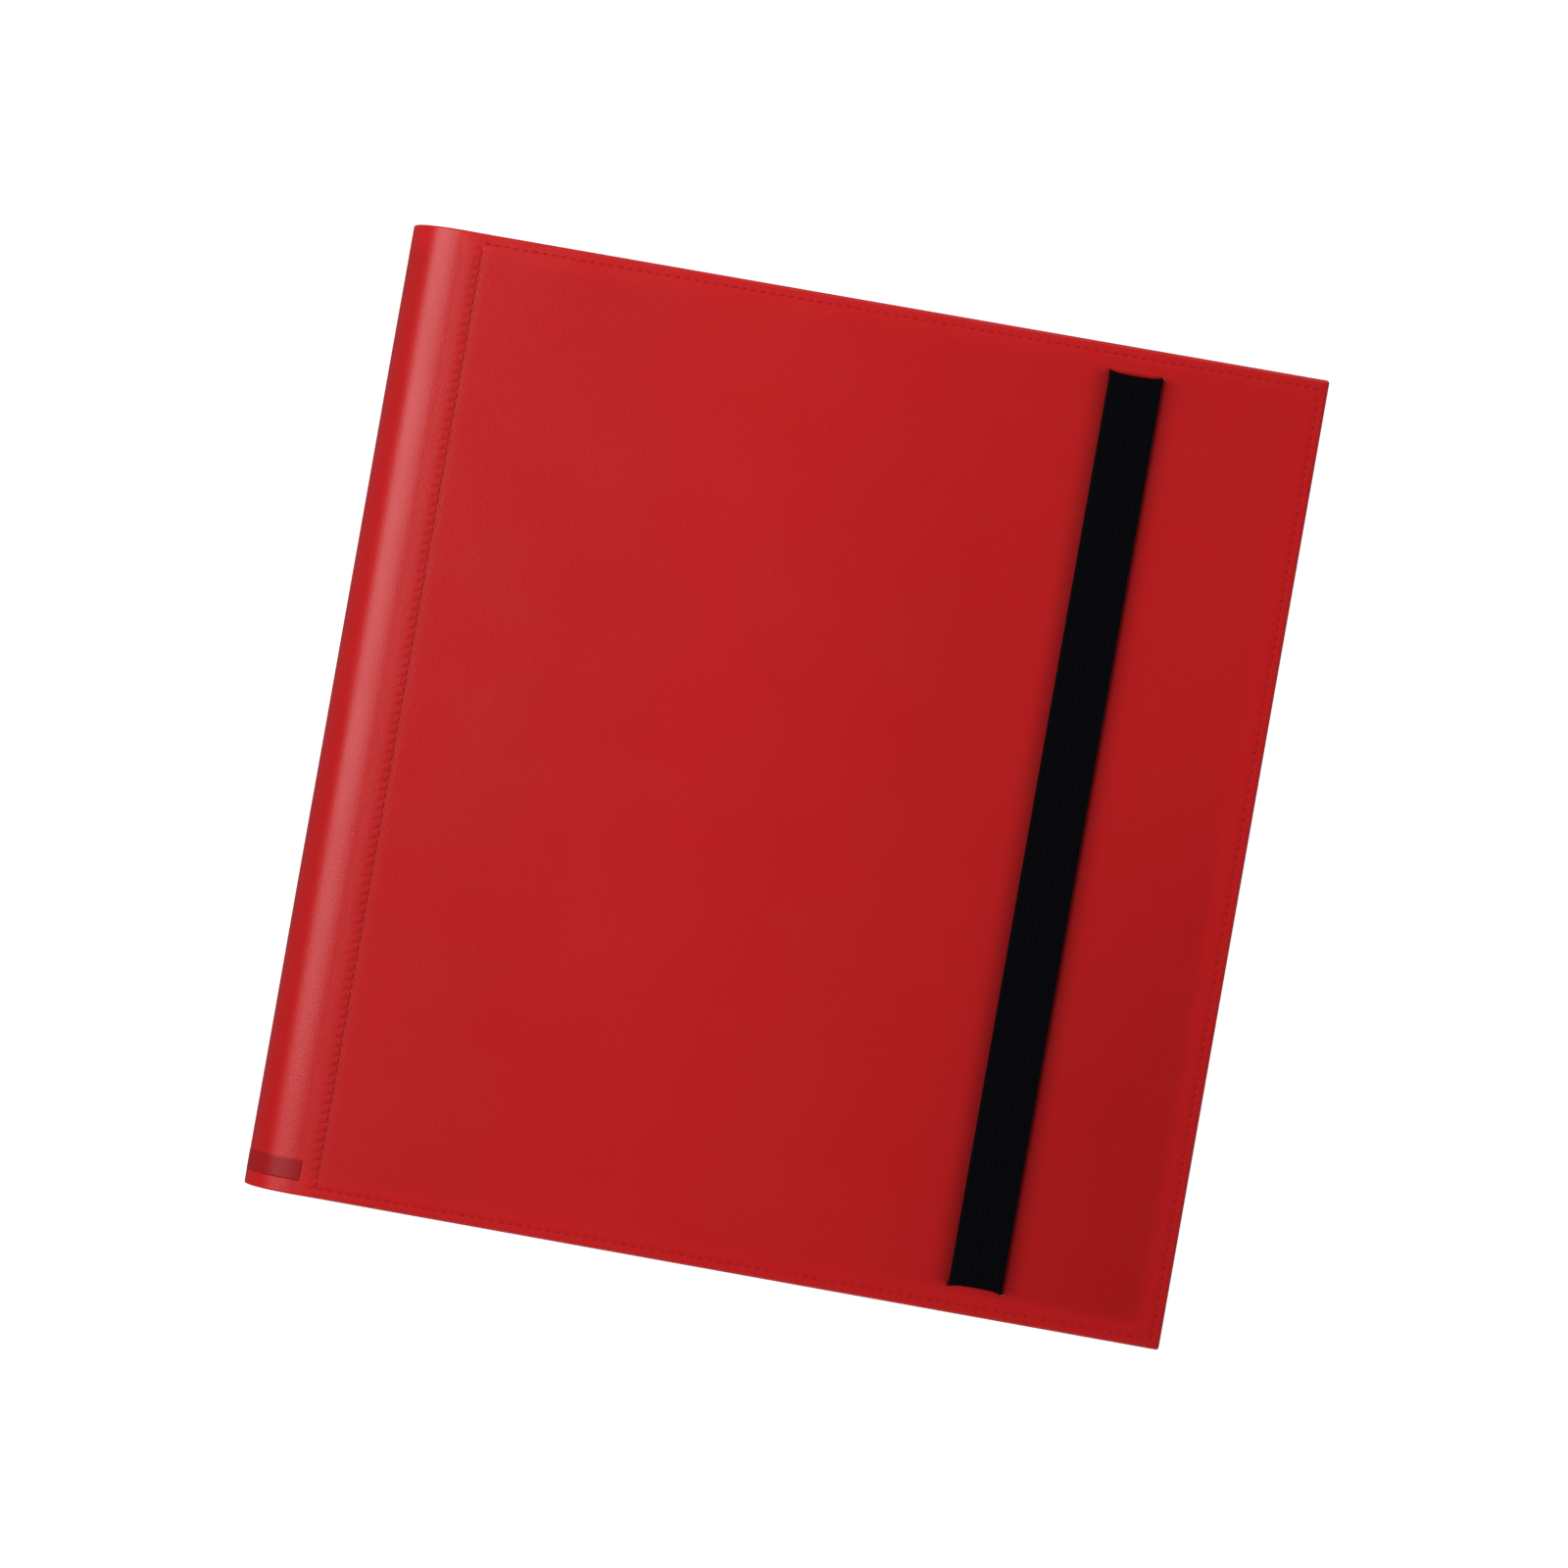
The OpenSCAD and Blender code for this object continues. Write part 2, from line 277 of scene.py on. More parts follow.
class NodeBench:
    """Lays out the nodes of one procedural material round a Principled shader."""

    def __init__(self, name: str) -> None:
        """Starts an empty material with its shader.

        Args:
            name: Name of the material.
        """
        self.material = bpy.data.materials.new(name)
        self.material.use_nodes = True
        self.tree = self.material.node_tree
        self.shader = self.tree.nodes["Principled BSDF"]
        self.place = self.add("ShaderNodeTexCoord").outputs["Object"]

    def add(self, kind: str, **settings: object) -> bpy.types.Node:
        """Adds a node of a kind and sets its properties."""
        node = self.tree.nodes.new(kind)
        for key, value in settings.items():
            setattr(node, key, value)
        return node

    def link(self, source: Socket, target: Socket) -> None:
        """Joins an output to an input."""
        self.tree.links.new(source, target)

    def fix(self, **values: object) -> None:
        """Sets constants on the shader's own sockets, with _ for a space in their names."""
        for key, value in values.items():
            self.shader.inputs[key.replace("_", " ")].default_value = value

    def stretched(self, scale: Colour, place: Socket | None = None) -> Socket:
        """The pattern's place, stretched along each axis."""
        node = self.add("ShaderNodeMapping")
        node.inputs["Scale"].default_value = scale
        self.link(place or self.place, node.inputs["Vector"])
        return node.outputs["Vector"]

    def noise(
        self, scale: float, detail: float = 2.0, place: Socket | None = None, warp: float = 0.0
    ) -> Socket:
        """Cloudy noise with about `scale` blots to the metre."""
        node = self.add("ShaderNodeTexNoise")
        node.inputs["Scale"].default_value = scale
        node.inputs["Detail"].default_value = detail
        node.inputs["Distortion"].default_value = warp
        self.link(place or self.place, node.inputs["Vector"])
        return node.outputs["Fac"]

    def cells(self, scale: float, feature: str = "SMOOTH_F1", place: Socket | None = None) -> Socket:
        """Distance from the middle, or the border, of cells `scale` to the metre."""
        node = self.add("ShaderNodeTexVoronoi", feature=feature)
        node.inputs["Scale"].default_value = scale
        self.link(place or self.place, node.inputs["Vector"])
        return node.outputs["Distance"]

    def waves(self, scale: float, axis: str, place: Socket | None = None, warp: float = 0.0) -> Socket:
        """Bands across one axis."""
        node = self.add("ShaderNodeTexWave", bands_direction=axis)
        node.inputs["Scale"].default_value = scale
        node.inputs["Distortion"].default_value = warp
        node.inputs["Detail"].default_value = 1.0
        self.link(place or self.place, node.inputs["Vector"])
        return node.outputs["Fac"]

    def sum(self, kind: str, a: Socket, b: Socket | float) -> Socket:
        """Arithmetic on two values, such as ADD or MULTIPLY."""
        node = self.add("ShaderNodeMath", operation=kind)
        self.link(a, node.inputs[0])
        if isinstance(b, bpy.types.NodeSocket):
            self.link(b, node.inputs[1])
        else:
            node.inputs[1].default_value = b
        return node.outputs["Value"]

    def ranged(self, value: Socket, low: float, high: float, to_low: float, to_high: float) -> Socket:
        """Carries a value from one range to another, held at its ends."""
        node = self.add("ShaderNodeMapRange")
        for key, number in (("From Min", low), ("From Max", high), ("To Min", to_low), ("To Max", to_high)):
            node.inputs[key].default_value = number
        self.link(value, node.inputs["Value"])
        return node.outputs["Result"]

    def mixed(self, amount: Socket, a: Colour | Socket, b: Colour | Socket) -> Socket:
        """A colour that goes from a to b as the amount goes from 0 to 1."""
        node = self.add("ShaderNodeMix", data_type="RGBA")
        self.link(amount, node.inputs["Factor"])
        for socket, colour in zip((s for s in node.inputs if s.type == "RGBA"), (a, b)):
            if isinstance(colour, bpy.types.NodeSocket):
                self.link(colour, socket)
            else:
                socket.default_value = (*colour, 1.0)
        return next(s for s in node.outputs if s.type == "RGBA")

    def offset(self, axis: str, centre: float) -> Socket:
        """Distance along one axis from the plane at -centre, without its sign."""
        node = self.add("ShaderNodeSeparateXYZ")
        self.link(self.place, node.inputs["Vector"])
        return self.sum("ABSOLUTE", self.sum("ADD", node.outputs[axis], centre), 0.0)

    def own(self, name: str) -> Socket:
        """A value that the piece's own mesh carries."""
        return self.add("ShaderNodeAttribute", attribute_name=name).outputs["Fac"]

    def pattern(self) -> Socket:
        """The piece's own flat pattern, in metres."""
        return self.add("ShaderNodeUVMap", uv_map="pattern").outputs["UV"]

    def faded(self, value: Socket, low: float, high: float, a: Colour, b: Colour) -> Socket:
        """A colour that goes from a to b as the value goes from low to high."""
        return self.mixed(self.ranged(value, low, high, 0.0, 1.0), a, b)

    def emboss(self, height: Socket, depth: float, strength: float = 1.0) -> None:
        """Raises the surface by a height pattern of a depth in metres."""
        node = self.add("ShaderNodeBump")
        node.inputs["Strength"].default_value = strength
        node.inputs["Distance"].default_value = depth
        self.link(height, node.inputs["Height"])
        self.link(node.outputs["Normal"], self.shader.inputs["Normal"])

    def colour(self, source: Socket) -> None:
        """Feeds the shader's colour."""
        self.link(source, self.shader.inputs["Base Color"])

    def roughness(self, source: Socket) -> None:
        """Feeds the shader's roughness."""
        self.link(source, self.shader.inputs["Roughness"])


def shaded(colour: Colour, factor: float) -> Colour:
    """A colour made darker or lighter by a factor."""
    return tuple(min(1.0, c * factor) for c in colour)


@dataclass(frozen=True)
class Leatherette:
    """Coated cloth with a fine pebbled grain, uneven dye and rubbed edges, with painted shade in its
    grain and where the mesh asks for it, and a painted light band down the covers.

    A value that the mesh carries says where it is rubbed brighter (up to 1) and where shade is painted (down
    to -1).

    Attributes:
        name: Name of the material.
        dye: Its colour.
        pebble: Grain cells to the metre.
        depth: Depth of the grain.
        gloss: Lowest and highest roughness.
        shine: Strength of its reflection.
    """

    name: str
    dye: Colour
    pebble: float = 1500.0
    depth: float = 0.035 * MM
    gloss: tuple[float, float] = (0.31, 0.37)
    shine: float = 0.2

    def build(self) -> bpy.types.Material:
        """Makes the material."""
        bench = NodeBench(self.name)
        pebbles = bench.cells(self.pebble)
        fibre = bench.noise(self.pebble * 2.1, 3.0)
        creases = bench.noise(self.pebble * 0.16, 4.0, warp=0.6)
        grain = bench.sum("ADD", bench.sum("MULTIPLY", pebbles, -0.9), bench.sum("MULTIPLY", fibre, 0.35))
        grain = bench.sum("ADD", grain, bench.sum("MULTIPLY", creases, 0.5))
        bench.emboss(grain, self.depth)
        cloud = bench.noise(14.0, 4.0, bench.stretched((1.0, 0.35, 1.0)))
        dye = bench.faded(cloud, 0.35, 0.65, shaded(self.dye, 0.975), shaded(self.dye, 1.02))
        # Painted light: a soft brighter band down the covers, fading out 60 mm either side of x = -30 mm.
        faded = bench.ranged(bench.offset("X", 0.03), 0.0, 60.0 * MM, 0.8, 0.0)
        dye = bench.mixed(faded, dye, shaded(self.dye, 1.07))
        # Painted shade: the grain's valleys are darkened.
        painted_valley_shade = bench.ranged(pebbles, 0.25, 0.75, 0.0, 0.12)
        dye = bench.mixed(painted_valley_shade, dye, shaded(self.dye, 0.6))
        wear_and_shade = bench.own("wear_and_shade")
        rubbed, painted_shade = bench.ranged(wear_and_shade, 0.0, 1.0, 0.0, 1.0), bench.ranged(wear_and_shade, -1.0, 0.0, 1.0, 0.0)
        rubbed = bench.sum("MULTIPLY", rubbed, bench.ranged(fibre, 0.3, 0.7, 0.75, 1.0))
        dye = bench.mixed(rubbed, dye, shaded(self.dye, 1.3))
        # Painted shade: below 0 the mesh value darkens the dye towards a quarter of its colour.
        bench.colour(bench.mixed(painted_shade, dye, shaded(self.dye, 0.25)))
        patch = bench.sum("ADD", bench.noise(28.0, 2.0), bench.sum("MULTIPLY", wear_and_shade, 0.1))
        bench.roughness(bench.ranged(patch, 0.3, 0.75, *self.gloss))
        bench.fix(Specular_IOR_Level=self.shine)
        return bench.material


@dataclass(frozen=True)
class Plastic:
    """Matt sheet plastic with a fine embossed texture.

    Attributes:
        name: Name of the material.
        tint: Its colour.
        emboss: Embossed cells to the metre.
        depth: Depth of the emboss.
        gloss: Lowest and highest roughness.
    """

    name: str
    tint: Colour
    emboss: float = 1900.0
    depth: float = 0.025 * MM
    gloss: tuple[float, float] = (0.42, 0.58)

    def build(self) -> bpy.types.Material:
        """Makes the material."""
        bench = NodeBench(self.name)
        dimples = bench.cells(self.emboss, "F1")
        drift = bench.noise(14.0, 3.0)
        waviness = bench.sum("MULTIPLY", bench.noise(self.emboss * 0.4), 0.4)
        bench.emboss(bench.sum("ADD", dimples, waviness), self.depth)
        bench.colour(bench.faded(drift, 0.35, 0.65, shaded(self.tint, 0.85), shaded(self.tint, 1.2)))
        bench.roughness(bench.ranged(drift, 0.3, 0.7, *self.gloss))
        return bench.material


@dataclass(frozen=True)
class ClearFilm:
    """Clear glossy film, faintly rippled.

    Attributes:
        name: Name of the material.
        tint: Its colour.
        cover: How much it hides what is behind it.
    """

    name: str = "clear_film"
    tint: Colour = (0.40, 0.42, 0.44)
    cover: float = 0.14

    def build(self) -> bpy.types.Material:
        """Makes the material."""
        bench = NodeBench(self.name)
        ripple = bench.noise(55.0, 2.0)
        scuff = bench.noise(900.0, 2.0, bench.stretched((1.0, 0.08, 1.0)))
        bench.emboss(bench.sum("ADD", ripple, bench.sum("MULTIPLY", scuff, 0.02)), 0.25 * MM, 0.6)
        bench.colour(bench.faded(ripple, 0.3, 0.7, shaded(self.tint, 0.94), self.tint))
        bench.roughness(bench.ranged(scuff, 0.35, 0.75, 0.06, 0.2))
        bench.fix(Alpha=self.cover, IOR=1.49, Specular_IOR_Level=1.0)
        bench.material.surface_render_method = "BLENDED"
        return bench.material


@dataclass(frozen=True)
class WovenElastic:
    """Flat woven elastic with lengthwise ribs and small crossing picks, on its own pattern.

    Attributes:
        name: Name of the material.
        tint: Its colour.
        rib: Pitch of the ribs.
        pick: Pitch of the picks along the band.
    """

    name: str = "woven_elastic"
    tint: Colour = (0.0011, 0.0012, 0.0021)
    rib: float = 0.86 * MM
    pick: float = 0.62 * MM

    def build(self) -> bpy.types.Material:
        """Makes the material."""
        bench = NodeBench(self.name)
        flat = bench.pattern()
        picks = bench.waves(ONE_BAND / self.pick, "Y", flat, 0.6)
        ribs = bench.waves(ONE_BAND / self.rib, "X", flat)
        offset = bench.waves(ONE_BAND / self.rib / 2.0, "X", flat)
        weave = bench.sum("ADD", bench.sum("MULTIPLY", picks, offset), bench.sum("MULTIPLY", ribs, 0.6))
        fuzz = bench.noise(5200.0, 2.0, flat)
        bench.emboss(bench.sum("ADD", weave, bench.sum("MULTIPLY", fuzz, 0.35)), 0.07 * MM)
        tone = bench.sum("ADD", weave, fuzz)
        bench.colour(bench.faded(tone, 0.4, 1.9, shaded(self.tint, 0.6), shaded(self.tint, 2.1)))
        bench.roughness(bench.ranged(fuzz, 0.3, 0.7, 0.62, 0.8))
        bench.fix(Specular_IOR_Level=0.03)
        return bench.material


@dataclass(frozen=True)
class Thread:
    """Twisted sewing thread.

    Attributes:
        name: Name of the material.
        dye: Its colour.
    """

    name: str
    dye: Colour

    def build(self) -> bpy.types.Material:
        """Makes the material."""
        bench = NodeBench(self.name)
        ply = bench.waves(900.0, "DIAGONAL")
        bench.emboss(bench.sum("ADD", ply, bench.noise(6000.0)), 0.03 * MM)
        bench.colour(bench.mixed(ply, shaded(self.dye, 0.7), shaded(self.dye, 1.1)))
        bench.roughness(bench.ranged(ply, 0.0, 1.0, 0.5, 0.62))
        bench.fix(Specular_IOR_Level=0.1)
        return bench.material


@dataclass(frozen=True)
class Greyboard:
    """Pressed paperboard with short fibres.

    Attributes:
        name: Name of the material.
        pulp: Its colour.
    """

    name: str = "greyboard"
    pulp: Colour = (0.36, 0.27, 0.16)

    def build(self) -> bpy.types.Material:
        """Makes the material."""
        bench = NodeBench(self.name)
        fibres = bench.noise(420.0, 5.0, bench.stretched((1.0, 0.3, 4.0)), 1.2)
        bench.emboss(fibres, 0.08 * MM)
        bench.colour(bench.mixed(fibres, shaded(self.pulp, 0.72), shaded(self.pulp, 1.15)))
        bench.roughness(bench.ranged(fibres, 0.2, 0.8, 0.8, 0.95))
        return bench.material


@dataclass(frozen=True)
class Tape:
    """Black woven cloth tape over the binding strip.

    Attributes:
        name: Name of the material.
        tint: Its colour.
        thread: Pitch of the threads.
    """

    name: str = "binding_tape"
    tint: Colour = (0.011, 0.011, 0.012)
    thread: float = 0.5 * MM

    def build(self) -> bpy.types.Material:
        """Makes the material."""
        bench = NodeBench(self.name)
        warp = bench.waves(ONE_BAND / self.thread, "Y", warp=0.5)
        weft = bench.waves(ONE_BAND / self.thread, "Z", warp=0.5)
        weave = bench.sum("MULTIPLY", warp, weft)
        bench.emboss(weave, 0.1 * MM)
        bench.colour(bench.mixed(weave, shaded(self.tint, 0.6), shaded(self.tint, 1.9)))
        bench.roughness(bench.ranged(weave, 0.0, 1.0, 0.72, 0.9))
        return bench.material


RED_LEATHERETTE = Leatherette("red_leatherette", (0.455, 0.0094, 0.0107))
DARK_LEATHERETTE = Leatherette(
    "label_leatherette", (0.285, 0.0078, 0.0100), pebble=2300.0, depth=0.02 * MM, shine=0.12
)
BLACK_LINING = Plastic(
    "black_lining", (0.012, 0.012, 0.013), emboss=1500.0, depth=0.035 * MM, gloss=(0.5, 0.66)
)
BLACK_LEAF = Plastic("black_leaf", (0.03, 0.03, 0.032))
RED_THREAD = Thread("red_thread", (0.47, 0.011, 0.013))


@dataclass
class Finishes:
    """Every material of the album, each made once."""

    leatherette: bpy.types.Material = field(default_factory=RED_LEATHERETTE.build)
    label: bpy.types.Material = field(default_factory=DARK_LEATHERETTE.build)
    lining: bpy.types.Material = field(default_factory=BLACK_LINING.build)
    sheet: bpy.types.Material = field(default_factory=BLACK_LEAF.build)
    film: bpy.types.Material = field(default_factory=ClearFilm().build)
    elastic: bpy.types.Material = field(default_factory=WovenElastic().build)
    thread: bpy.types.Material = field(default_factory=RED_THREAD.build)
    board: bpy.types.Material = field(default_factory=Greyboard().build)
    tape: bpy.types.Material = field(default_factory=Tape().build)


# ---------------------------------------------------------------------------
# Places that the frame gives
# ---------------------------------------------------------------------------


class Side(Enum):
    """Which cover: its body, and the way its outside faces."""

    FRONT = "front"
    BACK = "back"


@dataclass(frozen=True)
class AlbumPlan:
    """The album's main places, read from the frame once.

    Attributes:
        spine_r: Radius of the round spine.
        axis_x: X of the spine's centre, where the covers begin.
        fore_x: X of the fore-edge.
        half_h: Half of the height from tail to head.
        top_z: Height of the front cover's outside.
        skin_t: Thickness of the skin.
        lining_z: Height of the front lining's inner face.
        hem: Width of the hem.
    """

    spine_r: float
    axis_x: float
    fore_x: float
    half_h: float
    top_z: float
    skin_t: float
    lining_z: float
    hem: float

    @classmethod
    def from_frame(cls) -> AlbumPlan:
        """Measures the nodes of the frame.

        Returns:
            The plan.
        """
        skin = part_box("front_skin")
        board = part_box("front_board")
        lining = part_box("front_lining")
        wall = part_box("spine_wall_3")
        spine_r = skin[1].z / 2.0
        return cls(
            spine_r=spine_r,
            axis_x=wall[0].x + spine_r,
            fore_x=skin[1].x,
            half_h=skin[1].y,
            top_z=skin[1].z,
            skin_t=skin[1].z - board[1].z,
            lining_z=lining[0].z,
            hem=skin[1].x - board[1].x,
        )

    @property
    def mid_z(self) -> float:
        """Height of the spine's centre."""
        return self.top_z / 2.0

    def on_spine(self, radius: np.ndarray, angle: np.ndarray) -> tuple[np.ndarray, np.ndarray]:
        """X and Z of points round the spine.

        x = axis - r sin(a) and z = middle - r cos(a), so angle 0 is at the back cover, 90
        degrees is outermost and 180 is at the front cover.

        Args:
            radius: Distance from the spine's centre.
            angle: Angle in degrees.

        Returns:
            X and Z.
        """
        turn = np.radians(angle)
        return self.axis_x - radius * np.sin(turn), self.mid_z - radius * np.cos(turn)

    def shoulder(self, past: np.ndarray) -> np.ndarray:
        """How far the skin sinks where the round spine runs into a flat cover.

        It is h exp(-((s + 2.5 mm) / 5.5 mm)^2), where s is the way along the skin from the
        start of the cover, negative on the spine.

        Args:
            past: The way along the skin.

        Returns:
            The fall.
        """
        deepest, peak, reach = 0.42 * MM, -2.5 * MM, 5.5 * MM
        return deepest * bell((past - peak) / reach)

    def spine_point(self, angle: float) -> tuple[float, float, float]:
        """The point on the outside of the spine at an angle, at mid-height of the album."""
        x, z = self.on_spine(np.array(self.spine_r), np.array(angle))
        return float(x), 0.0, float(z)


@dataclass(frozen=True)
class HemProfile:
    """How the skin rounds over at the head, the tail and the fore-edge.

    The outside falls by a gentle slope, a quarter round and the groove that the thread
    pulls. `full` is 1 over the padded covers and 0 over the thin spine.

    Attributes:
        thin_round: Radius of the outer rounding at the spine.
        full_round: Radius of the outer rounding at the covers.
        thin_slope: Fall of the soft slope at the spine.
        full_slope: Fall of the soft slope at the covers.
        slope_w: Width of the soft slope.
        seam_in: Distance of the stitches from the edge.
        seam_depth: Depth of the groove that they pull.
        seam_w: Half-width of that groove.
        thin_t: Thickness of the hem at the spine.
        full_t: Thickness of the hem at the covers.
        thin_back: Radius of the inner rounding at the spine.
        full_back: Radius of the inner rounding at the covers.
    """

    thin_round: float = 0.55 * MM
    full_round: float = 1.1 * MM
    thin_slope: float = 0.03 * MM
    full_slope: float = 0.3 * MM
    slope_w: float = 6.5 * MM
    seam_in: float = 3.1 * MM
    seam_depth: float = 0.08 * MM
    seam_w: float = 0.6 * MM
    thin_t: float = 1.35 * MM
    full_t: float = 2.5 * MM
    thin_back: float = 0.55 * MM
    full_back: float = 0.95 * MM

    def between(self, thin: float, full: float, fullness: np.ndarray) -> np.ndarray:
        """A size between its value at the spine and at the covers."""
        return thin + (full - thin) * fullness

    def fall(self, depth: np.ndarray, fullness: np.ndarray) -> np.ndarray:
        """Fall of the outside at a depth inside the edge.

        Args:
            depth: Distance from the edge, inwards.
            fullness: 0 at the spine to 1 over the covers.

        Returns:
            The fall below the flat outside.
        """
        rounding = quarter_round(depth, self.between(self.thin_round, self.full_round, fullness))
        slope = self.between(self.thin_slope, self.full_slope, fullness)
        slope = slope * (1.0 - smoothstep(depth / self.slope_w))
        return rounding + slope + self.seam_depth * fullness * bell((depth - self.seam_in) / self.seam_w)

    def thickness(self, depth: np.ndarray, fullness: np.ndarray) -> np.ndarray:
        """How far under the flat outside the hem's inner face lies at a depth.

        Args:
            depth: Distance from the edge, inwards.
            fullness: 0 at the spine to 1 over the covers.

        Returns:
            The distance under the flat outside.
        """
        back = self.between(self.thin_back, self.full_back, fullness)
        return self.between(self.thin_t, self.full_t, fullness) - quarter_round(depth, back)

    def lines(self, edge: float, hem: float) -> np.ndarray:
        """Grid lines close to an edge at +edge, dense where the profile bends.

        Args:
            edge: Place of the edge.
            hem: Width of the hem's inner step.

        Returns:
            The places of the lines.
        """
        tight = ruled((0.0, self.full_round, 0.14 * MM), (self.full_round, self.slope_w, 0.4 * MM))
        step = np.array([hem - 0.01 * MM, hem + 0.01 * MM])
        return sorted_lines(edge - tight, edge - step)


# ---------------------------------------------------------------------------
# Covers
# ---------------------------------------------------------------------------


@dataclass
class Slots:
    """The two slots that the strap goes through, and how it pulls the skin round them.

    Attributes:
        x: Middle of the strap.
        half_w: Half of a slot's width across the strap.
        near: Distance of a slot's nearer wall from the middle of the album.
        far: Distance of its farther wall.
        flare: How far the slot's corners reach past its middle.
        lip: Height of the raised lip outside the slot.
    """

    x: float
    half_w: float
    near: float
    far: float
    flare: float = 1.05 * MM
    lip: float = 0.25 * MM

    @classmethod
    def from_frame(cls) -> Slots:
        """Places the slots round the strap's legs.

        Returns:
            The slots.
        """
        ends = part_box("strap_ends")
        side_fit = 0.05 * MM
        near_fit, far_fit = 0.5 * MM, 0.02 * MM
        thickness = 1.0 * MM
        return cls(
            x=(ends[0].x + ends[1].x) / 2.0,
            half_w=(ends[1].x - ends[0].x) / 2.0 + side_fit,
            near=ends[1].y - thickness - near_fit,
            far=ends[1].y + far_fit,
        )

    def bow(self, x: np.ndarray) -> np.ndarray:
        """1 at the middle of the strap, falling to 0 at its sides: 1 - ((x - x0) / w)^2."""
        return np.clip(1.0 - np.square((x - self.x) / self.half_w), 0.0, 1.0)

    def drawn(self, x: np.ndarray, y: np.ndarray) -> np.ndarray:
        """Y of points near a slot, whose corners reach further out than its middle.

        The shift outwards is flare ((x - x0) / w)^4 bell((|y| - middle) / 2 mm) inside the
        strap's width, and dies away over 1.2 mm beside it.

        Args:
            x: X of the points.
            y: Y of the points.

        Returns:
            The new Y.
        """
        middle = (self.near + self.far) / 2.0
        across = np.abs(x - self.x)
        ear = np.minimum(across / self.half_w, 1.0) ** 4.0
        ear = ear * bell(np.maximum(across - self.half_w, 0.0) / (1.2 * MM))
        return y + np.sign(y) * self.flare * ear * bell((np.abs(y) - middle) / (2.0 * MM))

    def away(self, x: np.ndarray, y: np.ndarray) -> np.ndarray:
        """Distance from the strap, seen from above, growing faster past its ends."""
        beside = np.maximum(np.abs(x - self.x) - self.half_w, 0.0)
        return np.hypot(beside, 2.2 * np.maximum(np.abs(y) - self.far + 1.5 * MM, 0.0))

    def lift(self, x: np.ndarray, y: np.ndarray) -> np.ndarray:
        """Height that the lip outside each slot adds, with the slot's edge turned down."""
        past = np.abs(y) - self.far
        lip = self.lip * self.bow(x) * bell((past - 1.0 * MM) / (0.9 * MM))
        beyond = np.maximum(np.maximum(self.near - np.abs(y), past), 0.0)
        beside = np.maximum(np.abs(x - self.x) - self.half_w, 0.0)
        return lip - 0.2 * MM * bell(np.hypot(beside, beyond) / (0.35 * MM))

    def painted_shade(self, x: np.ndarray, y: np.ndarray) -> np.ndarray:
        """Painted shadow beside the strap: it dies away as bell(distance / 3.9 mm)."""
        return 0.58 * bell(self.away(x, y) / (3.9 * MM))

    def holes(self, x: np.ndarray, y: np.ndarray) -> np.ndarray:
        """Which cells of a grid with these lines lie in a slot."""
        mid_x = (x[1:] + x[:-1]) / 2.0
        mid_y = np.abs((y[1:] + y[:-1]) / 2.0)
        in_x = np.abs(mid_x - self.x) < self.half_w
        in_y = (mid_y > self.near) & (mid_y < self.far)
        return in_x[:, None] & in_y[None, :]


